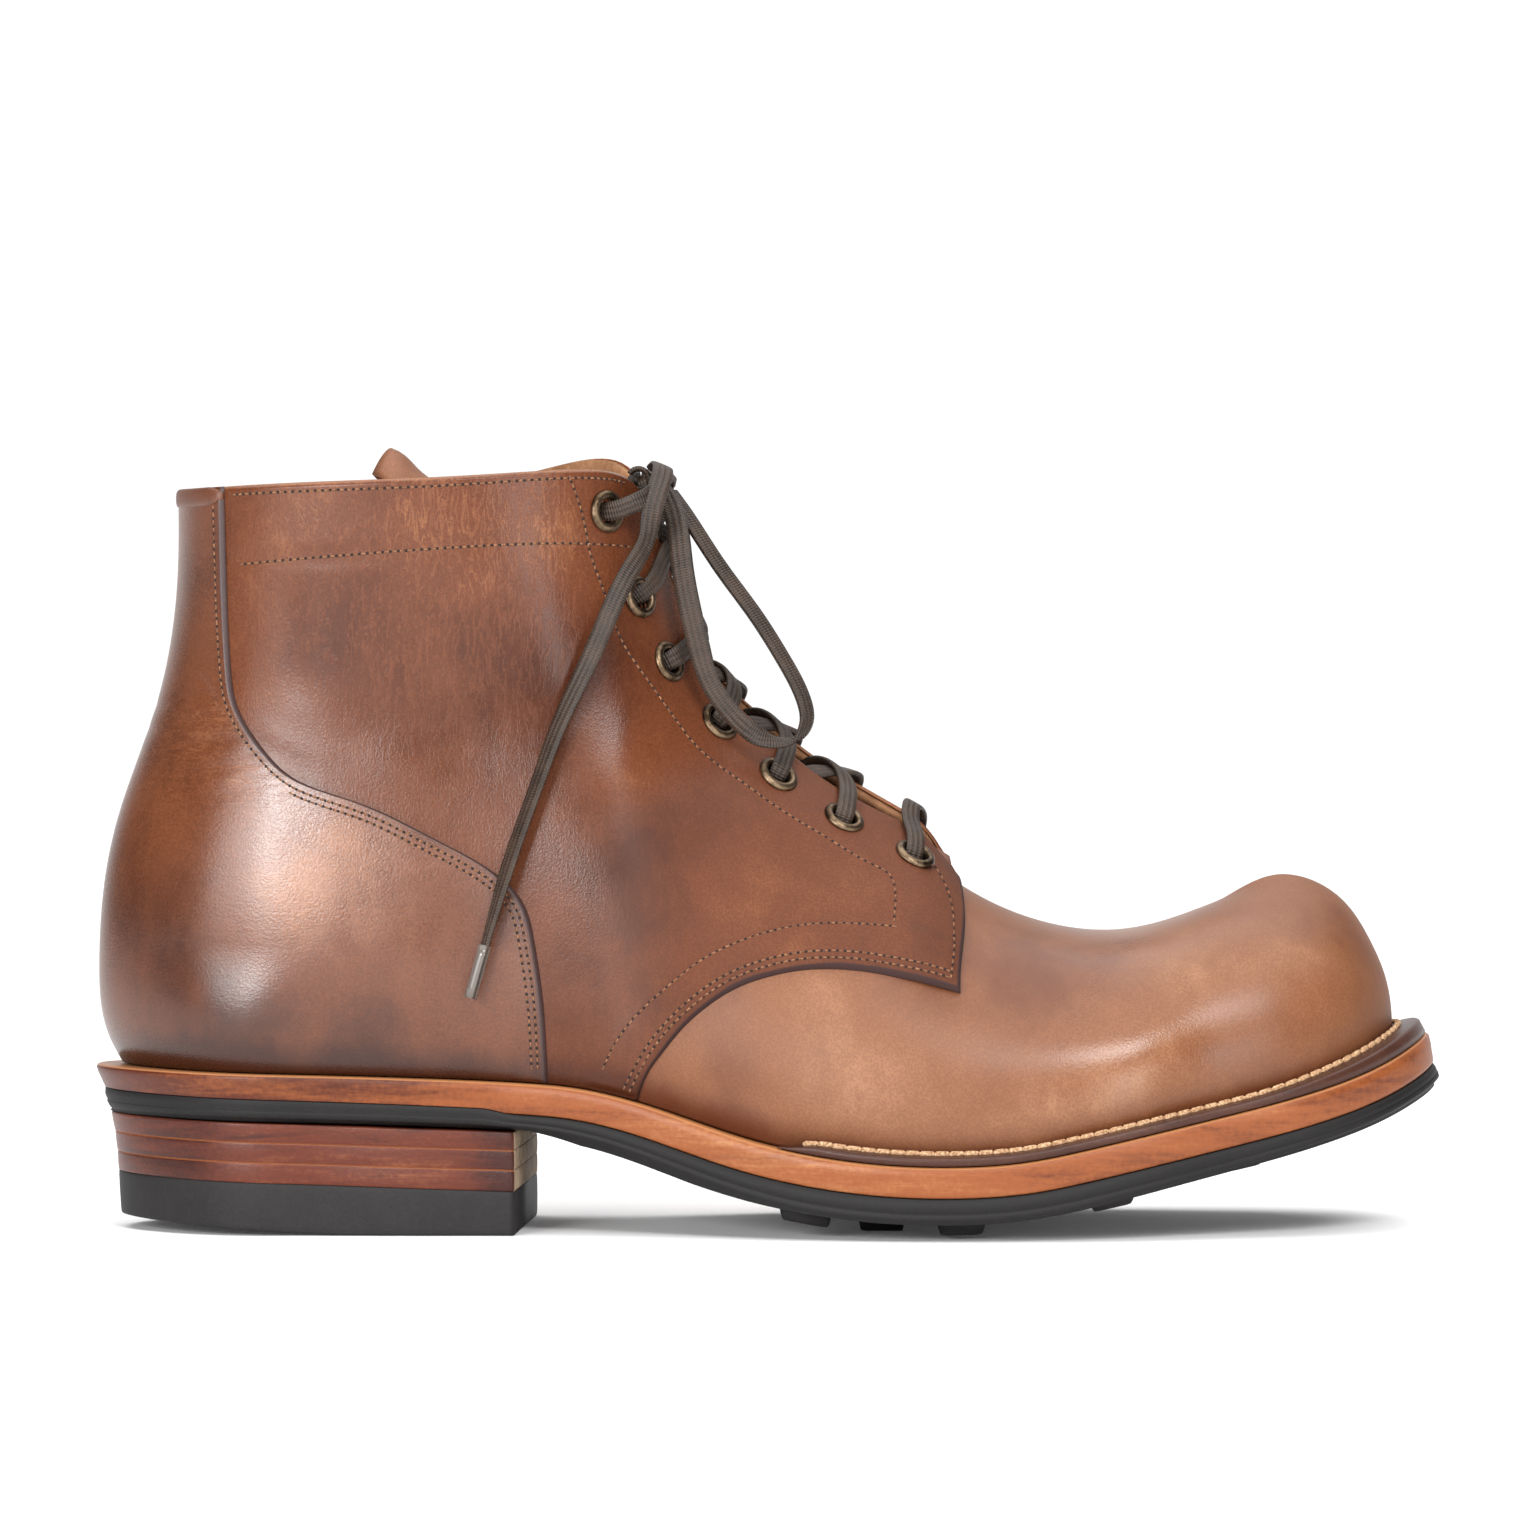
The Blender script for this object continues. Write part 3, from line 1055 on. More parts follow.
def build_back_roll():
    """The strip's top, turned over the collar at the back and stitched down."""
    runs = []
    for side, _ in SIDES:
        us = np.linspace(0, float(counter_reach(np.array([0.985]), side)[0]), 26)
        v = 1 - ROLL_UNDER / rib_lengths(us, side, "quarter")
        runs.append(surface(us, v[:, None], side, ROLL_OUT)[:, 0])
    path = np.concatenate([runs[0][::-1], runs[1][1:]])
    from_end = np.minimum(np.arange(len(path)), np.arange(len(path))[::-1])
    size = 0.35 + 0.65 * np.sqrt(np.clip(from_end / 3, 0, 1))
    points, faces, _, _ = tube(path, (0.0, 0.0, 1.0), ROLL_TALL * size, ROLL_THICK * size, 18, 0.7)
    fields = {"rim": NO_EDGE, "tone": -0.15, "fold": 0.3, "gloss": 0.6}
    make("back_roll", points, faces, COUNTER_LEATHER, fields=fields)


# The lining ends under the collar's edge, and sits deeper at the throat and behind the vamp.
LINING_UNDER, THROAT_DEEPER, THROAT_LONG, VAMP_DEEPER = 0.35, 3.0, 10.0, 1.6


def build_lining():
    parts = []
    for side, _ in SIDES:
        us = np.linspace(0, FRONT - 0.004, 110)
        from_front = (FRONT - us) * AROUND
        high = collar_share(from_front, rib_lengths(us, side, "quarter"), LINING_UNDER)
        vs = np.linspace(0, 1, 56) * high[:, None]
        base = sheet(us, vs, side, "quarter")
        below_seam = np.interp(base[..., 0], *VAMP_SEAM.T, left=-20.0) - base[..., 2]
        at_throat = smooth(1 - from_front / THROAT_LONG)[:, None]
        seat = THROAT_DEEPER * at_throat + VAMP_DEEPER * smooth((below_seam + 5) / 4)
        skins = [surface(us, vs, side, depth - seat) for depth in (LINING_OUT, LINING_IN)]
        points = np.concatenate(skins).reshape(-1, 3)
        parts.append((points, without_holes(points, wall_faces(*vs.shape), side)))
    points, faces = joined(parts)
    make("lining", points, faces, LINING)


# Upper stitches: pitch, the share of it that shows as thread, half width and height, and the needle's pits.
UPPER_PITCH, STITCH_SHARE, THREAD_WIDE, THREAD_HIGH = 1.75, 0.62, 0.24, 0.18
PIT_RADIUS, PIT_DEEP, PIT_PROUD = 0.36, 0.35, 0.07


def seam_path(xz, side, layer):
    """Stitch middles along a side line on a built layer: points, run directions and outward directions."""
    out = QUARTER_OUT if layer == "quarter" else COUNTER_OUT
    points, n = on_side(even(xz, UPPER_PITCH), side, out)
    points = snap(points, n, SKINS[layer, side])
    return points, unit(np.gradient(points, axis=0)), n


# A stitch's rings: place along it, size.
STITCH_ENDS = ((-0.5, 0.35), (-0.34, 0.95), (0.0, 1.0), (0.34, 0.95), (0.5, 0.35))


def stitches(points, runs, ups, length, width, height, sides=6):
    """(points, faces) of one thread bead at each place."""
    across = np.cross(ups, runs)[:, None]
    a = circle(sides)[:, None]
    rings = []
    for share, size in STITCH_ENDS:
        middle = (points + runs * share * length)[:, None]
        rings.append(middle + across * np.cos(a) * width * size + ups[:, None] * np.sin(a) * height * size)
    return repeated(np.stack(rings, axis=1), ring_faces(len(STITCH_ENDS), sides))


def holes(points, ups, runs, sides=6):
    """(points, faces) of small dark pits between stitches."""
    across = np.cross(ups, runs)[:, None]
    a = circle(sides)[:, None]
    ring = points[:, None] + (across * np.cos(a) + runs[:, None] * np.sin(a)) * PIT_RADIUS
    pits = np.concatenate([ring - ups[:, None] * PIT_DEEP, ring + ups[:, None] * PIT_PROUD], axis=1)
    return repeated(pits, ring_faces(2, sides))


def sew(name, rows):
    """One piece of thread and needle holes for several seam paths."""
    beads, pits = [], []
    for points, runs, n in rows:
        length = UPPER_PITCH * STITCH_SHARE
        beads.append(stitches(points + n * 0.02, runs, n, length, THREAD_WIDE, THREAD_HIGH))
        middle = (points[1:] + points[:-1]) / 2
        pits.append(holes(middle, unit(n[1:] + n[:-1]), unit(runs[1:] + runs[:-1])))
    kinds = [kind for kind, parts in enumerate((beads, pits)) for _, faces in parts for _ in faces]
    points, faces = joined(beads + pits)
    make(name, points, faces, [DARK_THREAD, HOLE], kinds=kinds)


# Where the stitch rows run: insets from the cut edges, heights they keep to, and the quarter's front row.
COUNTER_INSETS, COUNTER_LOW, COUNTER_HIGH, SECOND_ROW_HIGH = (1.9, 3.3), 37.5, 165.5, 100
QUARTER_INSETS, LOWER_ROW_FRONT = (2.0, 3.4), 195.5
FRONT_SEAM = np.array([(196.4, 59.0), (197.4, 66.0), (197.7, 73.0), (196.6, 79.0), (193.4, 84.4)])
COLLAR_INSET = 2.0


def collar_row(side):
    """The stitch row under the collar's edge."""
    us = np.linspace(PLACES[1] + 0.035, PLACES[5] + 0.012, 200)
    v = 1 - COLLAR_INSET / rib_lengths(us, side, "quarter")
    row = even(surface(us, v[:, None], side, QUARTER_OUT)[:, 0], UPPER_PITCH)
    u, v = (np.interp(np.linspace(0, 1, len(row)), np.linspace(0, 1, len(us)), each) for each in (us, v))
    return row, unit(np.gradient(row, axis=0)), directions(u, v[:, None], side, "quarter")[:, 0]


def build_seams():
    high = COUNTER_CURVE[:, 1]
    counter = COUNTER_CURVE[(high > COUNTER_LOW) & (high < COUNTER_HIGH)]
    lower = even(QUARTER_EDGE[1:-1], 1.5)
    lower = lower[lower[:, 0] < LOWER_ROW_FRONT]
    for side, word in SIDES:
        rows = [seam_path(beside(counter, inset), side, "counter") for inset in COUNTER_INSETS]
        short = rows[1][0][:, 2] < SECOND_ROW_HIGH
        sew(f"counter_seam_{word}", [rows[0], tuple(part[short] for part in rows[1])])
        lines = [*(beside(lower, inset) for inset in QUARTER_INSETS), VAMP_SEAM[1:11], FRONT_SEAM]
        sew(f"quarter_seam_{word}", [seam_path(line, side, "quarter") for line in lines])
        rows = [seam_path(line, side, "quarter") for line in (FACING_SEAM, CUFF_SEAM)]
        sew(f"collar_seam_{word}", [*rows, collar_row(side)])


# An eyelet's section: radius, height over the leather.
EYELET_PROFILE = (
    (2.75, -2.6), (2.85, 0.3), (3.0, 0.85), (3.3, 1.15), (3.75, 1.22), (4.25, 1.08), (4.68, 0.72),
    (4.9, 0.3), (4.86, 0.0), (4.3, -0.1), (3.3, -0.15), (3.25, -2.6),
)


def turned_ring(at, direction, profile, sides):
    d = unit(np.asarray(direction, float))
    a = unit(np.cross(d, (0, 0, 1)))
    t = circle(sides)[:, None]
    spoke = np.cos(t) * a + np.sin(t) * np.cross(d, a)
    p = np.array([at + spoke * r + d * h for r, h in profile]).transpose(1, 0, 2)
    m = len(profile)
    faces = []
    for i in range(sides):
        for j in range(m):
            k, l = (i + 1) % sides, (j + 1) % m
            faces.append([i * m + j, k * m + j, k * m + l, i * m + l])
    return p.reshape(-1, 3), faces


def build_eyelets():
    for side, word in SIDES:
        for k, (at, d) in enumerate(PLACED[side], 1):
            points, faces = turned_ring(at, d, EYELET_PROFILE, 40)
            make(f"rolled_eyelet_{word}_{k}", points, faces, BRASS, (f"eyelet_{word}_{k}",))


# The lace: half width, half thickness.
LACE_WIDE, LACE_THICK = 2.25, 0.62
# The lace's squareness in section, the step along it, and its half width where it spreads or meets the tip.
LACE_SQUARE, LACE_STEP = 0.62, 0.8
LACE_SPREAD, LACE_PINCHED = 2.5, 1.35


def lace(name, path, wide_dirs, replaced=(), wide=LACE_WIDE):
    """One flat stretch of lace; returns the piece and its middle line."""
    far = distances(path)
    at = np.linspace(0, far[-1], max(8, int(far[-1] / LACE_STEP)))
    line = spline(far, path, at)
    dirs = unit(spline(far, wide_dirs, at))
    size = np.interp(at, far, np.broadcast_to(wide, len(path)))
    points, faces, along, across = tube(line, dirs, size, LACE_THICK, 16, LACE_SQUARE)
    fields = {"along": along, "across": across}
    return make(name, points, faces, LACE, replaced, fields=fields), line


def strand(name, route, replaced):
    """A fixed stretch of lace along (point, outward direction) pairs."""
    path, ups = (np.array(part) for part in zip(*route))
    lace(name, path, np.cross(ups, unit(np.gradient(path, axis=0))), replaced)


def throat_edge(side):
    us = np.linspace(PLACES[6] + 0.004, FRONT - 0.004, 160)
    vs = np.ones((len(us), 1))
    return surface(us, vs, side, QUARTER_OUT)[:, 0], directions(us, vs, side, "quarter")[:, 0]


# The lace in an eyelet: depth behind it, then height over it and share of the way to the facing's edge.
LACE_BEHIND = 2.4
BAR_RISES, STRAND_RISES = ((0.5, 0.12), (1.9, 0.42)), ((0.5, 0.1), (1.7, 0.4))
# How high the strands cross over the throat's middle, and how much more the upper ones do.
STRAND_LIFT, UPPER_LIFT = {-1: 1.9, 1: 0.6}, {2: 3.5, 3: 1.0}
# A strand's turns: shares of the way where it goes over its own facing and under the other, its distances
# from them there, then share of the way to the other eyelet and depths behind it.
OVER_SHARE, UNDER_SHARE, OVER_LIFT, UNDER_DROP = 0.16, 0.3, 1.3, 2.2
GOAL_NEAR, GOAL_DROP, GOAL_BEHIND = 0.6, 4.2, 3.4
# The bar: where it goes over the facing, from its eyelet, its height there, and the rise of its middle.
BAR_AIM, BAR_LIFT, BAR_RISE = (-2.0, 0, 4), 1.5, (-0.4, 0, 2.2)
# How far the topmost strand's turn over the facing is moved up to the knot.
TOP_STRAND_SHIFT = (0.2, 0, 6.2)


def out_of_eyelet(at, d, over, rises):
    route = [(at - d * LACE_BEHIND, d)]
    return route + [(at + d * up + (over - at) * share, d) for up, share in rises]


def build_crossings():
    """The lace through the eyelets: a bar at the foot of the throat, then crossings up to the knot."""
    edges = {side: throat_edge(side) for side, _ in SIDES}

    def nearest(side, q):
        p, n = edges[side]
        i = np.linalg.norm(p - q, axis=1).argmin()
        return p[i], n[i]

    last = len(EYELETS)
    ends = []
    for side, _ in SIDES:
        at, d = PLACED[side][-1]
        over, n_over = nearest(side, at + BAR_AIM)
        ends.append([*out_of_eyelet(at, d, over, BAR_RISES), (over + n_over * BAR_LIFT, n_over)])
    (left, n_left), (right, n_right) = ends[0][-1], ends[1][-1]
    top = ((left + right) / 2 + BAR_RISE, unit(n_left + n_right))
    strand(f"lace_bar_{last}", [*ends[0], top, *ends[1][::-1]], (f"lace_crossing_{last}",))
    for k in range(last - 1, 1, -1):
        for side, word in SIDES:
            at, d = PLACED[side][k - 1]
            goal, d_goal = PLACED[-side][k - 2]
            over, n_over = nearest(side, at + (goal - at) * OVER_SHARE)
            under, n_under = nearest(-side, goal + (at - goal) * UNDER_SHARE)
            rise = unit(n_over + n_under)
            middle = (over + under) / 2 + rise * (STRAND_LIFT[side] + UPPER_LIFT.get(k, 0.0))
            if k == 2:
                over = over + TOP_STRAND_SHIFT
            route = [
                *out_of_eyelet(at, d, over, STRAND_RISES),
                (over + n_over * OVER_LIFT, unit(n_over + d)),
                (middle, rise), (under - n_under * UNDER_DROP, n_under),
                (under + (goal - under) * GOAL_NEAR - d_goal * GOAL_DROP, d_goal),
                (goal - d_goal * GOAL_BEHIND, d_goal),
            ]
            strand(f"lace_strand_{k}_{word}", route, (f"lace_crossing_{k}",) if side < 0 else ())


# The middle of the throat, sideways.
THROAT_Y = 2.0
KNOT = np.array((128.6, THROAT_Y, 172.6))
# Free runs of the lace, as in the part: x, y, height of each point, or x, height, distance from the leather.
LOOP = (
    (129.6, -2.6, 171.2), (131.8, -6.2, 168.4), (133.6, -9.4, 163.9), (135.2, -15.0, 152.7),
    (137.0, -18.0, 142.7), (139.2, -19.0, 133.3), (141.6, -19.5, 125.7), (145.3, -19.5, 119.8),
    (150.5, -19.0, 114.4), (156.5, -17.5, 111.6), (161.4, -15.5, 112.4), (164.0, -13.8, 116.4),
    (163.3, -12.6, 121.5), (159.0, -11.6, 130.2), (152.0, -10.6, 141.3), (143.9, -9.0, 152.4),
    (136.3, -6.0, 164.0), (132.4, -2.4, 169.4),
)
END_LATERAL = (
    (123.3, 157.5, 5.6), (120.7, 149.8, 5.0), (114.3, 131.6, 4.3), (107.2, 113.4, 4.1), (103.7, 102.9, 4.2),
    (96.5, 82.0, 5.0), (92.3, 68.3, 5.4), (88.1, 54.3, 6.0),
)
END_MEDIAL = (
    (122.4, 157.5, 5.6), (120.5, 149.6, 5.0), (118.4, 131.6, 4.3), (116.2, 113.4, 4.1), (114.5, 102.9, 4.2),
    (112.5, 84.0, 4.4), (111.0, 66.0, 4.8),
)
# Where an end leaves the knot: x, distance out, height.
END_TOP = ((129.2, 6.0, 174.0), (130.8, 14.0, 174.8), (130.8, 21.0, 171.8), (128.9, 25.6, 165.2))
AGLET_LONG, AGLET_WIDE, AGLET_THICK = 14.0, 1.45, 1.25
# From which point on the loop comes back, where it spreads, and how an end turns on its way: share, angle.
LOOP_BACK, LOOP_SPREAD = 9, slice(2, 6)
END_TURN = ((0, 0.3, 0.6, 1), (0.1, 0.25, 0.75, 0.85))
END_SPREAD, END_NARROWS = 26, 4
# The knot's wraps: points from its middle.
KNOT_WRAPS = (
    ((3.2, -5.0, -0.4), (3.6, 0.0, 1.0), (3.2, 5.0, -0.4)),
    ((-4.4, -4.0, -1.6), (-4.8, 0.0, 0.8), (-4.4, 4.0, -1.6)),
    ((-0.8, -6.2, 0.2), (-0.6, 0.0, 1.6), (-0.8, 6.2, 0.2)),
    ((-3.0, -6.4, -2.6), (0.0, -7.0, -1.6), (3.0, -6.0, -2.4)),
)
KNOT_STEP, WRAP_WIDE, WRAP_THICK, KNOT_SQUARE = 0.6, 0.95 * LACE_WIDE, 0.75, 0.7
# The lace from the topmost eyelets to the knot: distance out of the eyelet, shift; then its end at the knot.
KNOT_LEAD = ((-2.2, (0, 0, 0)), (0.6, (1.4, 0, 0.2)), (1.4, (5.0, 0, 1.6)))
KNOT_SIDE = (-1.0, 5.2, -1.6)
# The curl beside the knot: middle, radius, turn from and to, half width and thickness; and the knot's core.
CURL_AT, CURL_RADIUS, CURL_TURN, CURL_HALVES = (-3.4, -5.6, -0.2), 2.3, (0.5, 5.8), (1.9, 0.65)
CORE_X, CORE_REACH, CORE_Z, CORE_HALVES = -0.4, 5.4, -1.2, (3.6, 1.9)


def build_loop(side, word):
    loop = np.array([(x, THROAT_Y + side * (abs(y) + THROAT_Y), z) for x, y, z in LOOP])
    flat = ((0.9, 0.35 * side, -0.25), (0.95, 0.2 * side, 0.1), (1.0, 0.1 * side, 0.2))
    wide_dirs = np.array([flat[min(i // 2, 2)] for i in range(len(LOOP))])
    wide_dirs[LOOP_BACK:] = (0.55, -0.75 * side, 0.3)
    wide = np.full(len(LOOP), LACE_WIDE)
    wide[LOOP_SPREAD] = LACE_SPREAD
    piece, line = lace(f"bow_loop_{word}", loop, wide_dirs, (f"lace_loop_{word}",), wide)


def build_end(side, word):
    rows = np.array(END_LATERAL if side < 0 else END_MEDIAL)
    at, n = on_side(rows[:, :2], side, QUARTER_OUT)
    tops = np.array([(x, THROAT_Y + side * out, z) for x, out, z in END_TOP])
    end = np.vstack([tops, at + n * rows[:, 2:]])
    n = np.vstack([[unit(np.array((0.35, side, 0.3)))] * len(tops), n])
    far = distances(end)
    tip_from = far[-1] - AGLET_LONG
    face = np.cross(n, unit(np.gradient(end, axis=0)))
    turn = np.interp(far / far[-1], *END_TURN)[:, None]
    wide = np.where(far < END_SPREAD, LACE_SPREAD, LACE_WIDE)
    wide = np.where(far > tip_from - END_NARROWS, LACE_PINCHED, wide)
    wide_dirs = face * np.cos(turn) + n * np.sin(turn)
    piece, line = lace(f"bow_end_{word}", end, wide_dirs, (f"lace_end_{word}",), wide)
    at = np.linspace(0, far[-1], 60)
    tip = spline(far, end, at)[at > tip_from]
    points, faces, _, _ = tube(tip, (1.0, 0.0, 0.3), AGLET_WIDE, AGLET_THICK, 14, 1.0)
    aglet = make(f"lace_tip_{word}", points, faces, AGLET)


def build_knot():
    """Wraps over a core, a curl, and the lace from the topmost eyelets."""
    tubes = []
    for wrap in KNOT_WRAPS:
        path = even(np.array(wrap) + KNOT, KNOT_STEP)
        face = np.cross(unit(path - (KNOT - (0, 0, 3))), unit(np.gradient(path, axis=0)))
        tubes.append(tube(path, face, WRAP_WIDE, WRAP_THICK, 14, LACE_SQUARE))
    for side, _ in SIDES:
        at, d = PLACED[side][0]
        path = [at + d * out + shift for out, shift in KNOT_LEAD]
        path = even(np.array([*path, KNOT + np.multiply(KNOT_SIDE, (1, side, 1))]), KNOT_STEP)
        face = np.cross(d, unit(np.gradient(path, axis=0)))
        tubes.append(tube(path, face, LACE_WIDE, LACE_THICK, 14, LACE_SQUARE))
    turn = np.linspace(*CURL_TURN, 30)
    around = np.stack([-np.cos(turn), 0 * turn, np.sin(turn)], axis=1) * CURL_RADIUS
    core = np.array([(CORE_X, y, CORE_Z) for y in np.linspace(-CORE_REACH, CORE_REACH, 12)])
    tubes.append(tube(KNOT + CURL_AT + around, (0.0, 1.0, 0.0), *CURL_HALVES, 14, KNOT_SQUARE))
    tubes.append(tube(KNOT + core, (1.0, 0.0, 0.0), *CORE_HALVES, 14, KNOT_SQUARE))
    points, faces = joined([band[:2] for band in tubes])
    along, across = (np.concatenate([band[i] for band in tubes]) for i in (2, 3))
    fields = {"along": along, "across": across}
    make("bow_knot", points, faces, LACE, ("lace_knot", "lace_crossing_1"), fields=fields)


def build_bow():
    for side, word in SIDES:
        build_loop(side, word)
        build_end(side, word)
    build_knot()


# The tongue, as in the part: place and half width under the facings, then x, height, half width, arch, lean.
TONGUE_CLEAR, TONGUE_THICK, TONGUE_SPREAD = 3.0, 1.8, 4.0
TONGUE_LOW = ((0.622, 14.0), (0.60, 16.0), (0.57, 17.5), (0.54, 18.0), (0.515, 18.0))
TONGUE_RAMP = (
    (128.5, 128.0, 17.5, 11.0, 0.25), (116.0, 141.0, 20.0, 10.0, 0.25), (103.0, 153.0, 22.0, 9.0, 0.25),
    (89.5, 164.0, 23.0, 8.0, 0.25), (79.0, 171.2, 21.5, 7.0, 0.3), (73.6, 175.4, 18.5, 6.6, 0.45),
    (70.4, 178.5, 15.0, 6.4, 0.55), (68.0, 179.6, 11.5, 6.4, 0.62),
)


def build_tongue():
    across = np.linspace(0, 1, 11)
    rows = []
    for u, half in TONGUE_LOW:
        sides = []
        for side, _ in SIDES:
            line = surface(np.array([u]), np.linspace(1, 0.5, 60)[None], side, -TONGUE_CLEAR)[0]
            sides.append(points_along(line, line, across * half))
        middle = (sides[0][0] + sides[1][0]) / 2
        rows.append(np.vstack([sides[0][::-1], [middle], sides[1]]))
    shares = np.concatenate([-across[::-1], [0], across])
    hand = np.repeat((-1, 0, 1), (len(across), 1, len(across)))
    for x, z, half, arch, lean in TONGUE_RAMP:
        spread = min(TONGUE_SPREAD, half / 2)
        y = THROAT_Y + hand * spread + shares * (half - spread)
        rows.append(np.stack([x - lean * arch * np.abs(shares) ** 1.3, y, z - arch * shares**2], axis=1))
    rows = np.array(rows)
    far = distances(rows[:, len(across)])
    p = spline(far, rows.reshape(len(rows), -1), np.linspace(0, far[-1], 90)).reshape(90, -1, 3)
    n = unit(np.cross(np.gradient(p, axis=0), np.gradient(p, axis=1)))
    n *= np.sign(n[40, len(across), 2])
    points = np.concatenate([p, p - n * TONGUE_THICK]).reshape(-1, 3)
    fields = {"rim": NO_EDGE, "tone": -0.1, "fold": 0.3, "gloss": 0.5}
    faces = wall_faces(*p.shape[:2])
    make("tongue_leather", points, faces, TONGUE_LEATHER, ("tongue",), fields=fields)


# The sole, as in the part.
MIDSOLE_THICK = 6.9
OUTSOLE_X = (0, 101, 114, 140, 165, 225, 300)
OUTSOLE_EDGE = (2.6, 2.6, 3.4, 4.2, 5.2, 4.9, 3.2)
OUTSOLE_THICK = (3.4, 3.4, 5.6, 6.2, 5.8, 5.5, 4.3)
OUTSOLE_BEVEL = (3.3, 3.3, 7.0, 6.0, 2.2, 1.6, 3.4)
WELT_START_X = 163.0
HEEL_LAYERS = (
    ("seat", 3.3, 26.4, 23.2), ("heel_lift_1", 4.2, 22.0, 19.1), ("heel_lift_2", 4.8, 17.4, 14.6),
    ("heel_lift_3", 5.1, 13.0, 9.8), ("heel_toplift", 5.7, 3.2, 0.0),
)
BREAST_X = {-1: 97.5, 1: 100.5}
REST_BACK_X = 58.0
LUG_INSET, LUG_HEIGHT, LUG_TOE_HEIGHT = 9.0, 4.4, 2.6
BALL_X, LUG_SHORTER, LUG_INNER_SHARE, LUG_TOE_X = 181.0, 1.5, 0.8, (215, 250)
# Lugs: x, length, place across, width.
LUG_ROWS = (
    (163.5, 12.0, -1, 11.0), (198.5, 11.0, -1, 13.0), (232.5, 10.0, -1, 12.0), (263.0, 8.0, -0.95, 10.0),
    (163.5, 12.0, 1, 11.0), (198.5, 11.0, 1, 13.0), (232.5, 10.0, 1, 12.0), (263.0, 8.0, 0.95, 10.0),
    (BALL_X, 11.0, -0.35, 13.0), (BALL_X, 11.0, 0.35, 13.0), (215.0, 10.0, -0.35, 13.0),
    (215.0, 10.0, 0.35, 13.0), (248.0, 9.0, -0.35, 12.0), (248.0, 9.0, 0.35, 12.0), (276.0, 8.0, 0.0, 14.0),
)


def sole_edge(us, side, inset):
    """Points of the sole's edge, inset from the widest outline, at the height of the midsole's top."""
    e, table = 1e-3, "vamp"
    vs = np.zeros((len(us), 1))
    foot = sheet(us, vs, side, table)[:, 0]
    u0, u1 = np.clip(us - e, 0, 1), np.clip(us + e, 0, 1)
    along = sheet(u1, vs, side, table)[:, 0] - sheet(u0, vs, side, table)[:, 0]
    out = np.stack([-along[:, 1], along[:, 0], 0 * along[:, 0]], axis=1) * side
    out[us < 1e-9] = (-1, 0, 0)
    out[us > 1 - 1e-9] = (1, 0, 0)
    margin = last_rows(us, table)[:, COLUMNS.index("margin")]
    edge = foot + unit(out) * (margin - inset)[:, None]
    edge[:, 2] = sole_line(edge[:, 0])
    return edge


def station(x, side):
    """The place along the boot at which the sole's edge has this x."""
    us = np.linspace(0, 1, 600)
    return float(np.interp(x, sole_edge(us, side, 0 * us)[:, 0], us))


def round_sole(us, depth, inset):
    """A closed line round the sole, lateral heel to toe and back, square to the sole's line."""
    sides = []
    for side, _ in SIDES:
        p = sole_edge(us, side, np.broadcast_to(inset, us.shape))
        bend = sole_slope(p[:, 0])
        p[:, 0] += np.sin(bend) * depth
        p[:, 2] -= np.cos(bend) * depth
        sides.append(p)
    return np.concatenate([sides[0], sides[1][-2:0:-1]])


def sole_layer(name, rings, half, finish, node, fields=None):
    """A sole layer from closed lines; half is how many points one side has."""
    rings = np.array(rings)
    count, around = rings.shape[:2]
    faces = ring_faces(count, around, lids=False)
    for first in (0, (count - 1) * around):
        lateral = [first + i for i in range(half)]
        medial = [first + i for i in range(around - 1, half - 1, -1)]
        faces += lid_faces(lateral, [lateral[0], *medial, lateral[-1]])
    values = {word: np.ravel(rows) for word, rows in (fields or {}).items()}
    make(name, rings.reshape(-1, 3), faces, finish, (node,), fields=values)


def sole_stations():
    spans = (np.linspace(0, 0.1, 26)[:-1], np.linspace(0.1, 0.82, 120)[:-1], np.linspace(0.82, 1, 50))
    return np.concatenate(spans)


# The midsole's edge, downwards: depth, inset, distance from a pale rim.
MIDSOLE_STEPS = (
    (0, 3.0, 0), (0, 0.5, 0), (0.35, 0.0, 0.1), (1.0, -0.35, 1), (2.6, -0.25, 2.6), (4.4, 0.1, 2.4),
    (5.9, 0.35, 1), (6.6, 0.5, 0.6), (6.9, 0.9, 0.5),
)
# How much thinner the midsole is at the back of the heel, and how far its foot is drawn in at heel and toe.
HEEL_THINNER, HEEL_IN, TOE_IN = 0.24, 1.4, 0.9
# Where the sole starts to narrow to the toe and over how far, where its edge is pale and over how far.
TOE_FROM, TOE_OVER, PALE_X, PALE_LONG = 225, 80, 170, 45
# The waist's undercut: x, share.
WAIST = ((96, 104, 150, 175), (0, 1, 1, 0))


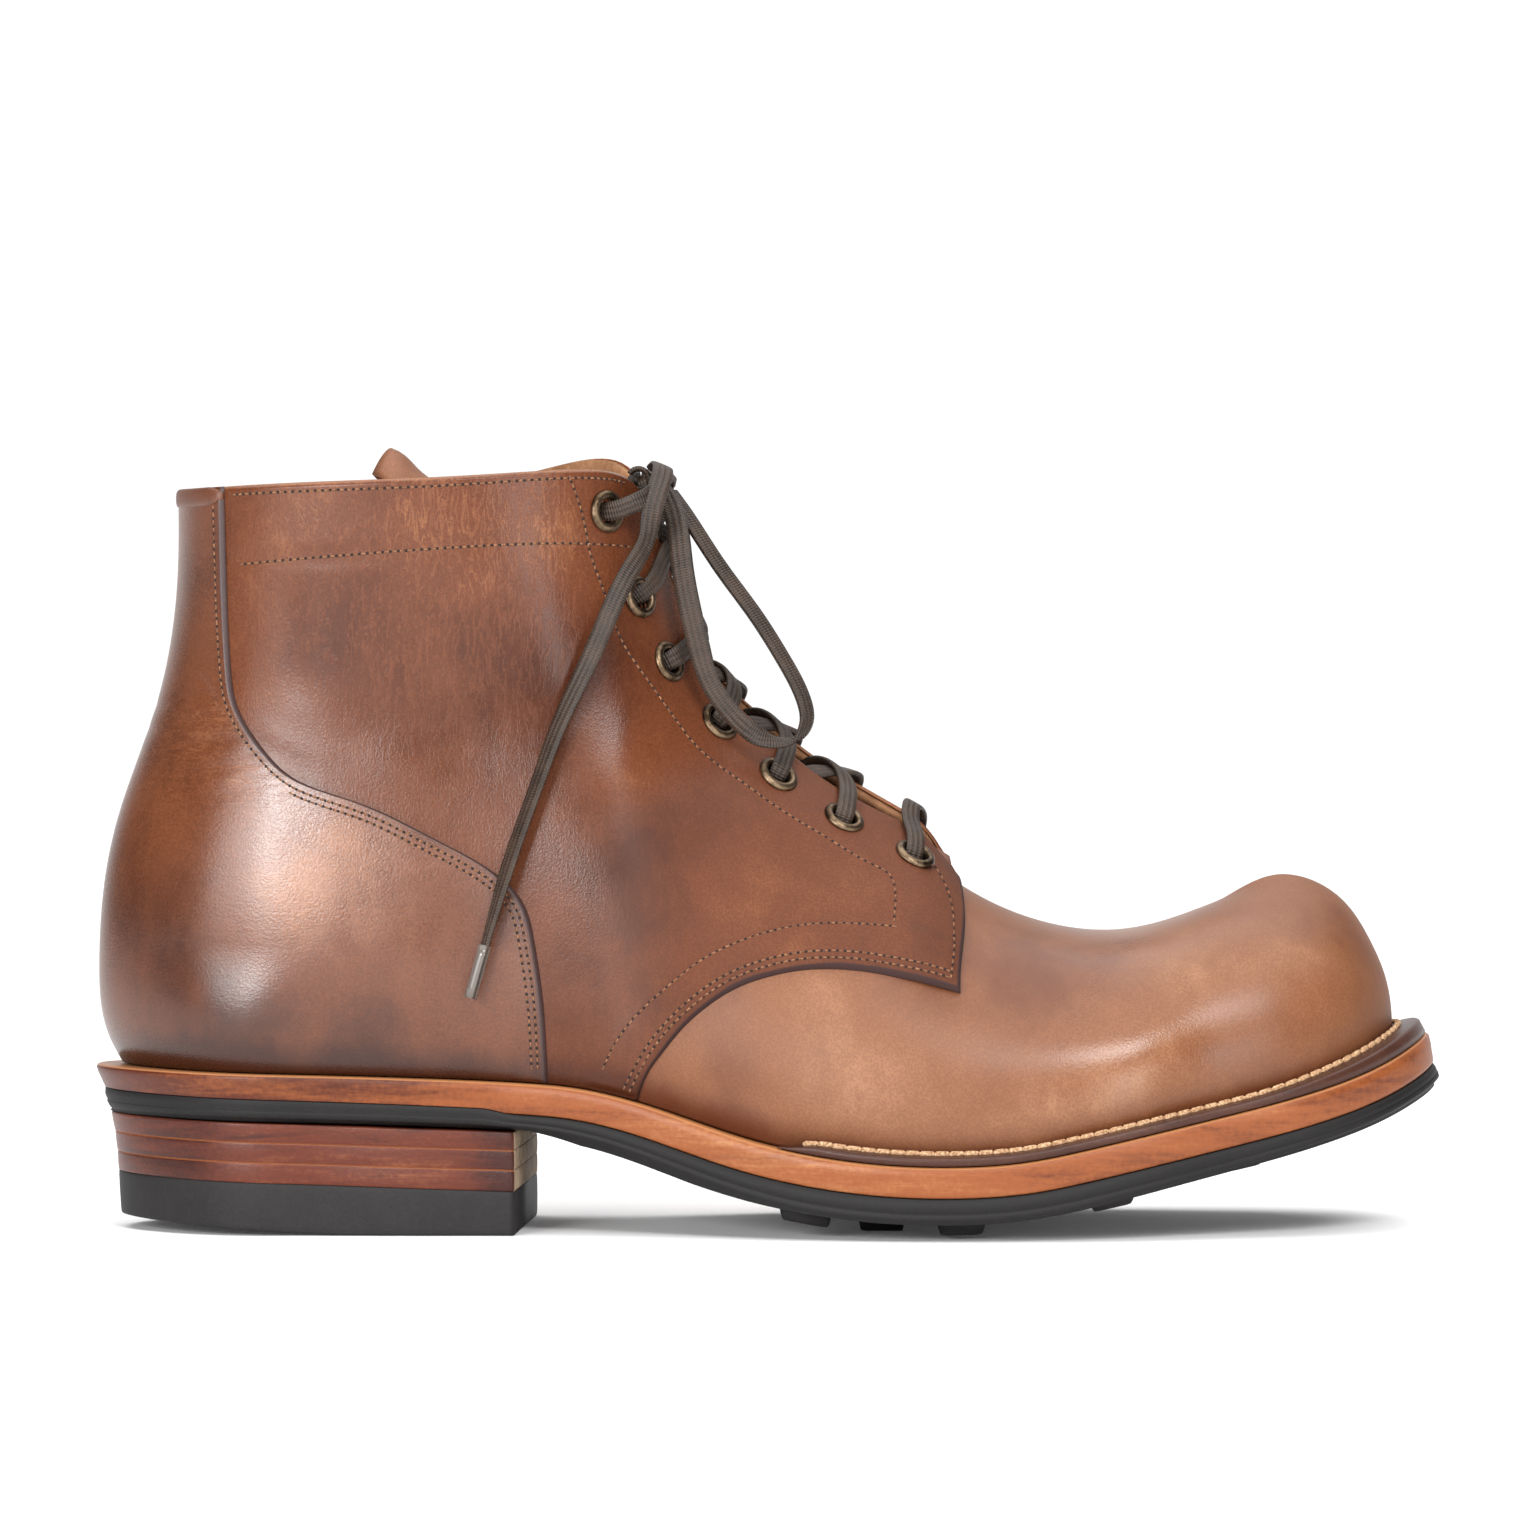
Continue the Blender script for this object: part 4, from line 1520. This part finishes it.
def build_sole():
    us = sole_stations()
    half = len(us)
    share = np.clip(1 - us / station(BREAST_X[-1], -1), 0, 1)
    seat = (0.5 + 0.5 * share) * smooth(share * 14)
    x = sole_edge(us, -1, 0 * us)[:, 0]
    toe = np.clip((x - TOE_FROM) / TOE_OVER, 0, 1)
    thin, heel = 1 - HEEL_THINNER * seat, seat > 0
    rings = []
    for depth, inset, _ in MIDSOLE_STEPS:
        drawn_in = (HEEL_IN * seat + TOE_IN * toe) * depth / MIDSOLE_THICK
        rings.append(round_sole(us, depth * thin, np.where(heel, min(inset, 0.5), inset) + drawn_in))
    rims = [np.full(len(rings[0]), rim) for _, _, rim in MIDSOLE_STEPS]
    tone = 0.14 * np.exp(-(((x - PALE_X) / PALE_LONG) ** 2)) - 0.3 * np.sqrt(share) - 0.04
    tone = np.concatenate([tone, tone[-2:0:-1]])
    fields = {"rim": rims, "tone": [tone] * len(rings)}
    sole_layer("midsole_edge", rings, half, MIDSOLE_EDGE, "midsole", fields)

    top = MIDSOLE_THICK * thin + 0.1
    edge, deep, run = (np.interp(x, OUTSOLE_X, row) for row in (OUTSOLE_EDGE, OUTSOLE_THICK, OUTSOLE_BEVEL))
    edge, deep = (height + MIDSOLE_THICK * (1 - thin) + GAP for height in (edge, deep))
    side_in = 0.5 + 1.1 * toe + 1.5 * seat
    lower = side_in + 0.9 * seat
    step = (side_in + lower) / 2
    waist = np.interp(x, *WAIST)
    lines = (
        (0, side_in + np.where(heel, 0.1, 0.6)),
        (0.25, side_in + np.where(heel, 0, 0.15)),
        (edge * 0.35, side_in), (edge * 0.62, step + 0.1),
        (edge * 0.66, step + np.where(heel, 0.1, 0.3)),
        (edge * 0.72, step + 0.05), (edge * 0.96, lower + 0.2),
        (edge, lower + np.where(heel, 0.3, 0.5)),
        (edge + (deep - edge) * (0.5 + 0.3 * waist), side_in + 0.5 + (run - 0.9) * (0.5 - 0.2 * waist)),
        (deep, np.maximum(run, side_in + 0.9)),
    )
    rings = [round_sole(us, top + depth, inset) for depth, inset in lines]
    sole_layer("outsole_body", rings, half, OUTSOLE_RUBBER, "outsole")
    build_lugs()
    build_heel()


# A lug, downwards: height over its base, share of its height below that, size, and where its corners turn.
LUG_LEVELS = ((0.8, 0, 1.0, 0.9), (0.2, 0.5, 0.94, 0.9), (0.5, 1, 0.88, 0.9), (0, 1, 0.82, 0.86))
LUG_CORNERS = ((-1, -1), (1, -1), (1, 1), (-1, 1))


def build_lugs():
    """The tread; the lugs under the ball stand on the floor, and the others clear it."""
    parts = []
    for x, length, across, width in LUG_ROWS:
        lateral, medial = (
            sole_edge(np.array([station(x, side)]), side, np.zeros(1))[0, 1] - side * (LUG_INSET + width / 2)
            for side, _ in SIDES
        )
        y = (lateral + medial) / 2 + across * (medial - lateral) / 2
        slope = float(sole_slope(x))
        deep = MIDSOLE_THICK + GAP + np.interp(x, OUTSOLE_X, OUTSOLE_THICK)
        base = float(sole_line(x)) - deep / math.cos(slope)
        height = np.interp(x, LUG_TOE_X, (LUG_HEIGHT, LUG_TOE_HEIGHT))
        if x != BALL_X:
            height = (height - LUG_SHORTER) * (1.0 if abs(across) > 0.5 else LUG_INNER_SHARE)
        rings = []
        for up, share, size, corner in LUG_LEVELS:
            for (ax, ay), (bx, by) in zip(LUG_CORNERS, LUG_CORNERS[1:] + LUG_CORNERS[:1]):
                for t in (1 - corner, 0.5, corner):
                    off_x = (ax + (bx - ax) * t) * length / 2 * size
                    off_y = (ay + (by - ay) * t) * width / 2 * size
                    z = base + off_x * math.tan(slope) + up - height * share
                    rings.append((x + off_x, y + off_y, max(z, 0.0)))
        parts.append((np.array(rings), ring_faces(len(LUG_LEVELS), len(rings) // len(LUG_LEVELS))))
    points, faces = joined(parts)
    make("outsole_lugs", points, faces, LUG_RUBBER)


# A heel layer, downwards: share of its height, inset, distance from a pale rim in a layer of LAYER_TALL.
LAYER_STEPS = (
    (0.0, 0.16, 0.1), (0.04, 0.05, 0.25), (0.12, 0, 0.8), (0.5, -0.04, 2), (0.88, 0, 0.8),
    (0.96, 0.05, 0.25), (0.995, 0.16, 0.1),
)
LAYER_TALL, NO_RIM = 4.0, 9.0
HEEL_INSET, HEEL_BACK_X = 0.4, 5.0
# Dark places of the heel's edge: x, half length, strength.
HEEL_DARK = ((20, 14, 0.25), (96, 9, 0.3))


def build_heel():
    ends = {side: station(BREAST_X[side], side) for side, _ in SIDES}
    shares = np.concatenate([np.linspace(0, 0.3, 30)[:-1], np.linspace(0.3, 1, 50)])

    def level(above, here, t, more):
        """A closed line round the heel between two layers, from the back to the breast and round again."""
        sides = []
        for side, _ in SIDES:
            rows = []
            for _, inset, back, breast in (above, here):
                inset = HEEL_INSET + more + (inset - HEEL_INSET) * (0.3 + 0.7 * (1 - shares) ** 2)
                p = sole_edge(shares * ends[side], side, inset)
                level_x = REST_BACK_X if breast == 0 else BREAST_X[-1]
                run = np.clip((p[:, 0] - HEEL_BACK_X) / (level_x - HEEL_BACK_X), 0, 1)
                p[:, 2] = back + (breast - back) * run
                rows.append(p)
            p = rows[0] + (rows[1] - rows[0]) * t
            p[:, 0] -= more * smooth((shares - 0.97) / 0.03)
            sides.append(p)
        return np.concatenate([sides[0], sides[1][::-1]])

    for above, here in zip(HEEL_LAYERS, HEEL_LAYERS[1:]):
        node, tall = here[0], above[2] - here[2]
        rubbery, first, last = (node == word for word in ("heel_toplift", "heel_lift_1", "heel_lift_3"))
        rings, rims = [], []
        for t, inset, rim in LAYER_STEPS:
            plain = rubbery or (first and t < 0.5) or (last and t > 0.5)
            if rubbery and t > 0.9:
                t = min(1.0, t * 1.01)
            rings.append(level(above, here, t, inset))
            rims.append(np.full(len(rings[0]), NO_RIM if plain else rim * tall / LAYER_TALL))
        finish, slot = (LUG_RUBBER, "grey_rubber") if rubbery else ([HEEL_EDGE, RAW_CUT], "sole_leather")
        heel_layer(node, rings, rims, finish)


def heel_layer(node, rings, rims, finish):
    """One layer of the heel; its flat breast has a finish of its own where two are given."""
    rings = np.array(rings)
    count, around = rings.shape[:2]
    half = around // 2
    medial = list(range(around - 2, half - 1, -1))
    order = [*range(half - 1, -1, -1), *medial]
    faces, kinds = [], []
    for first in range(0, (count - 1) * around, around):
        for a, b in zip(order, order[1:] + order[:1]):
            faces.append([first + a, first + b, first + around + b, first + around + a])
            kinds.append(int({a, b} == {half - 1, half} and isinstance(finish, list)))
    for first in (0, (count - 1) * around):
        faces += lid_faces([first + i for i in range(half)], [first + i for i in (0, *medial)])
    kinds += [0] * (len(faces) - len(kinds))
    x = rings[..., 0].ravel()
    tone = 0.02 - sum(strength * np.exp(-(((x - at) / long) ** 2)) for at, long, strength in HEEL_DARK)
    fields = {"rim": np.concatenate(rims), "tone": tone}
    make(f"{node}_edge", rings.reshape(-1, 3), faces, finish, (node,), kinds=kinds, fields=fields)


# The welt's section: inset from the sole's edge, height, pale rim; the last two lie against the upper.
WELT_PROFILE = (
    (0.0, 0.3, 0.3), (0.0, 1.3, 0.9), (0.0, 1.8, 0.95), (0.3, 2.05, 0.9), (0.8, 2.15, 0.6), (2.6, 2.3, 0.3),
    (4.2, 2.6, 0.2), (None, 3.2, 0), (None, 0.3, 0),
)
WELT_LEAD, WELT_TAPER, WELT_CLEAR = 6.0, 9.0, 0.5
# Where it grows higher towards the toe, over how far, and by what share.
WELT_TOE_X, WELT_TOE_LONG, WELT_TOE_RISE = 262, 42, 0.8
# Its stitches: pitch, length as a share of it, half size, lean; then seat height, place across, end distance.
WELT_PITCH, WELT_STITCH, WELT_THREAD_HALF, WELT_LEAN = 3.3, 1.12, 0.75, 0.16
WELT_SEAT, WELT_SEAM_SHARE, WELT_END = 2.45, 0.52, 7.0


def build_welt():
    """The dark strip on the midsole from waist to waist round the toe, with its bold stitches."""
    rows, seats, seat_ups = [], [], []
    start = WELT_START_X - WELT_LEAD
    for side, _ in SIDES:
        us = np.concatenate([np.linspace(station(start, side), 0.86, 130), np.linspace(0.862, 1, 44)])
        margin = last_rows(us, "vamp")[:, COLUMNS.index("margin")]
        x = sole_edge(us, side, 0 * us)[:, 0]
        taper = 0.12 + 0.88 * smooth((x - start) / WELT_TAPER)
        rise = 1 + WELT_TOE_RISE * smooth((x - WELT_TOE_X) / WELT_TOE_LONG)

        def on_edge(inset):
            """(points, upward directions) of a line inset from the sole's edge."""
            p = sole_edge(us, side, inset)
            bend = sole_slope(p[:, 0])
            return p, np.stack([-np.sin(bend), 0 * bend, np.cos(bend)], axis=1)

        section = []
        for inset, height, _ in WELT_PROFILE:
            reach = margin - WELT_CLEAR
            p, up = on_edge(reach if inset is None else np.minimum(inset, reach))
            lift = GAP + (height - GAP) * np.where(height > GAP, taper, 1) * rise
            section.append(p + up * lift[:, None])
        rows.append(np.array(section).transpose(1, 0, 2))
        p, up = on_edge(margin * WELT_SEAM_SHARE)
        seats.append(p + up * (WELT_SEAT * taper * rise)[:, None])
        seat_ups.append(up)
    strip, line, ups = (np.concatenate([a, b[-2::-1]]) for a, b in (rows, seats, seat_ups))
    count, wide = strip.shape[:2]
    rim = np.tile([pale * 3 for _, _, pale in WELT_PROFILE], count)
    fields = {"rim": rim, "tone": 0.0}
    faces = ring_faces(count, wide)
    make("welt_strip", strip.reshape(-1, 3), faces, WELT_EDGE, ("welt",), fields=fields)
    at = np.arange(WELT_END, distances(line)[-1] - WELT_END, WELT_PITCH)
    points, n = points_along(line, line, at), unit(points_along(line, ups, at))
    runs = unit(np.gradient(points, axis=0))
    lean = unit(runs + np.cross(n, runs) * WELT_LEAN)
    length, half = WELT_PITCH * WELT_STITCH, WELT_THREAD_HALF
    beads, faces = stitches(points + n * 0.3, lean, n, length, half, half, 8)
    make("welt_stitches", beads, faces, WELT_THREAD)


def dress_insole():
    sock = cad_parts["insole"]
    sock.data.materials.clear()
    sock.data.materials.append(SOCK)


# The camera stands level on the lateral side, opposite the middle of the boot.
CAMERA_AT = (0.0001, -1.436, 0.1056)
CAMERA_LENS, SENSOR = 145.4, 36.0
FLOOR_DROP = 0.0002
# The room is white behind the boot and dim behind the camera: direction from, to, strength from, to.
WORLD_FADE = (0.5, 0.96, 0.1, 1.06)
OVERHEAD_POWER, OVERHEAD_SPREAD = 3.2, 1.4
# Soft boxes: name, place, aim, width, height, power.
STUDIO_LIGHTS = (
    ("front_box", (-0.78, -1.36, 0.42), (-0.1, 0, 0.08), 0.9, 0.42, 11.0),
    ("core_box", (-0.56, -1.47, 0.43), (-0.1, 0, 0.08), 0.36, 0.28, 9.0),
    ("right_box", (0.72, -1.43, 0.24), (-0.05, 0, 0.14), 0.34, 0.46, 4.5),
    ("high_box", (0.38, -1.2, 0.98), (0.08, 0, 0.05), 0.62, 0.3, 12.0),
)


def placed(name, data):
    """A studio object, linked to the scene."""
    item = bpy.data.objects.new(name, data)
    bpy.context.scene.collection.objects.link(item)
    return item


def place_camera():
    camera = placed("camera", bpy.data.cameras.new("camera"))
    camera.location = CAMERA_AT
    camera.rotation_euler = (math.pi / 2, 0, 0)
    camera.data.lens, camera.data.sensor_width = CAMERA_LENS, SENSOR
    bpy.context.scene.camera = camera


def lay_floor():
    mesh = bpy.data.meshes.new("studio_floor")
    mesh.from_pydata([(-6, -6, 0), (6, -6, 0), (6, 9, 0), (-6, 9, 0)], [], [(0, 1, 2, 3)])
    white = Finish("studio_white", (0.96, 0.96, 0.96), roughness=0.9, specular_ior_level=0.0)
    white.shader.inputs["Emission Color"].default_value = (1, 1, 1, 1)
    white.shader.inputs["Emission Strength"].default_value = 0.04
    mesh.materials.append(white.material)
    floor = placed("studio_floor", mesh)
    floor.location.z = -FLOOR_DROP


def light_room():
    scene = bpy.context.scene
    scene.view_settings.view_transform = "Standard"
    scene.world = bpy.data.worlds.new("studio_world")
    scene.world.use_nodes = True
    tree = scene.world.node_tree
    kinds = ("ShaderNodeTexCoord", "ShaderNodeSeparateXYZ", "ShaderNodeMapRange")
    way, split, fade = (tree.nodes.new(kind) for kind in kinds)
    fade.interpolation_type = "SMOOTHSTEP"
    for word, value in zip(("From Min", "From Max", "To Min", "To Max"), WORLD_FADE):
        fade.inputs[word].default_value = value
    background = tree.nodes["Background"]
    background.inputs["Color"].default_value = (1, 1, 1, 1)
    tree.links.new(way.outputs["Generated"], split.inputs[0])
    tree.links.new(split.outputs["Y"], fade.inputs["Value"])
    tree.links.new(fade.outputs[0], background.inputs["Strength"])
    overhead = bpy.data.lights.new("overhead", "SUN")
    overhead.energy, overhead.angle = OVERHEAD_POWER, OVERHEAD_SPREAD
    placed("overhead", overhead)
    for name, at, aim, wide, tall, power in STUDIO_LIGHTS:
        light = bpy.data.lights.new(name, "AREA")
        light.shape, light.size, light.size_y, light.energy = "RECTANGLE", wide, tall, power
        lamp = placed(name, light)
        lamp.location = at
        lamp.rotation_euler = (Vector(aim) - Vector(at)).to_track_quat("-Z", "Y").to_euler()
        lamp.visible_camera = False


def build():
    place_camera()
    lay_floor()
    light_room()
    build_bow()
    build_crossings()
    build_vamp()
    for side, word in SIDES:
        build_quarter(side, word)
    build_counter()
    build_back_roll()
    build_lining()
    build_tongue()
    build_eyelets()
    build_seams()
    build_sole()
    build_welt()
    dress_insole()


build()
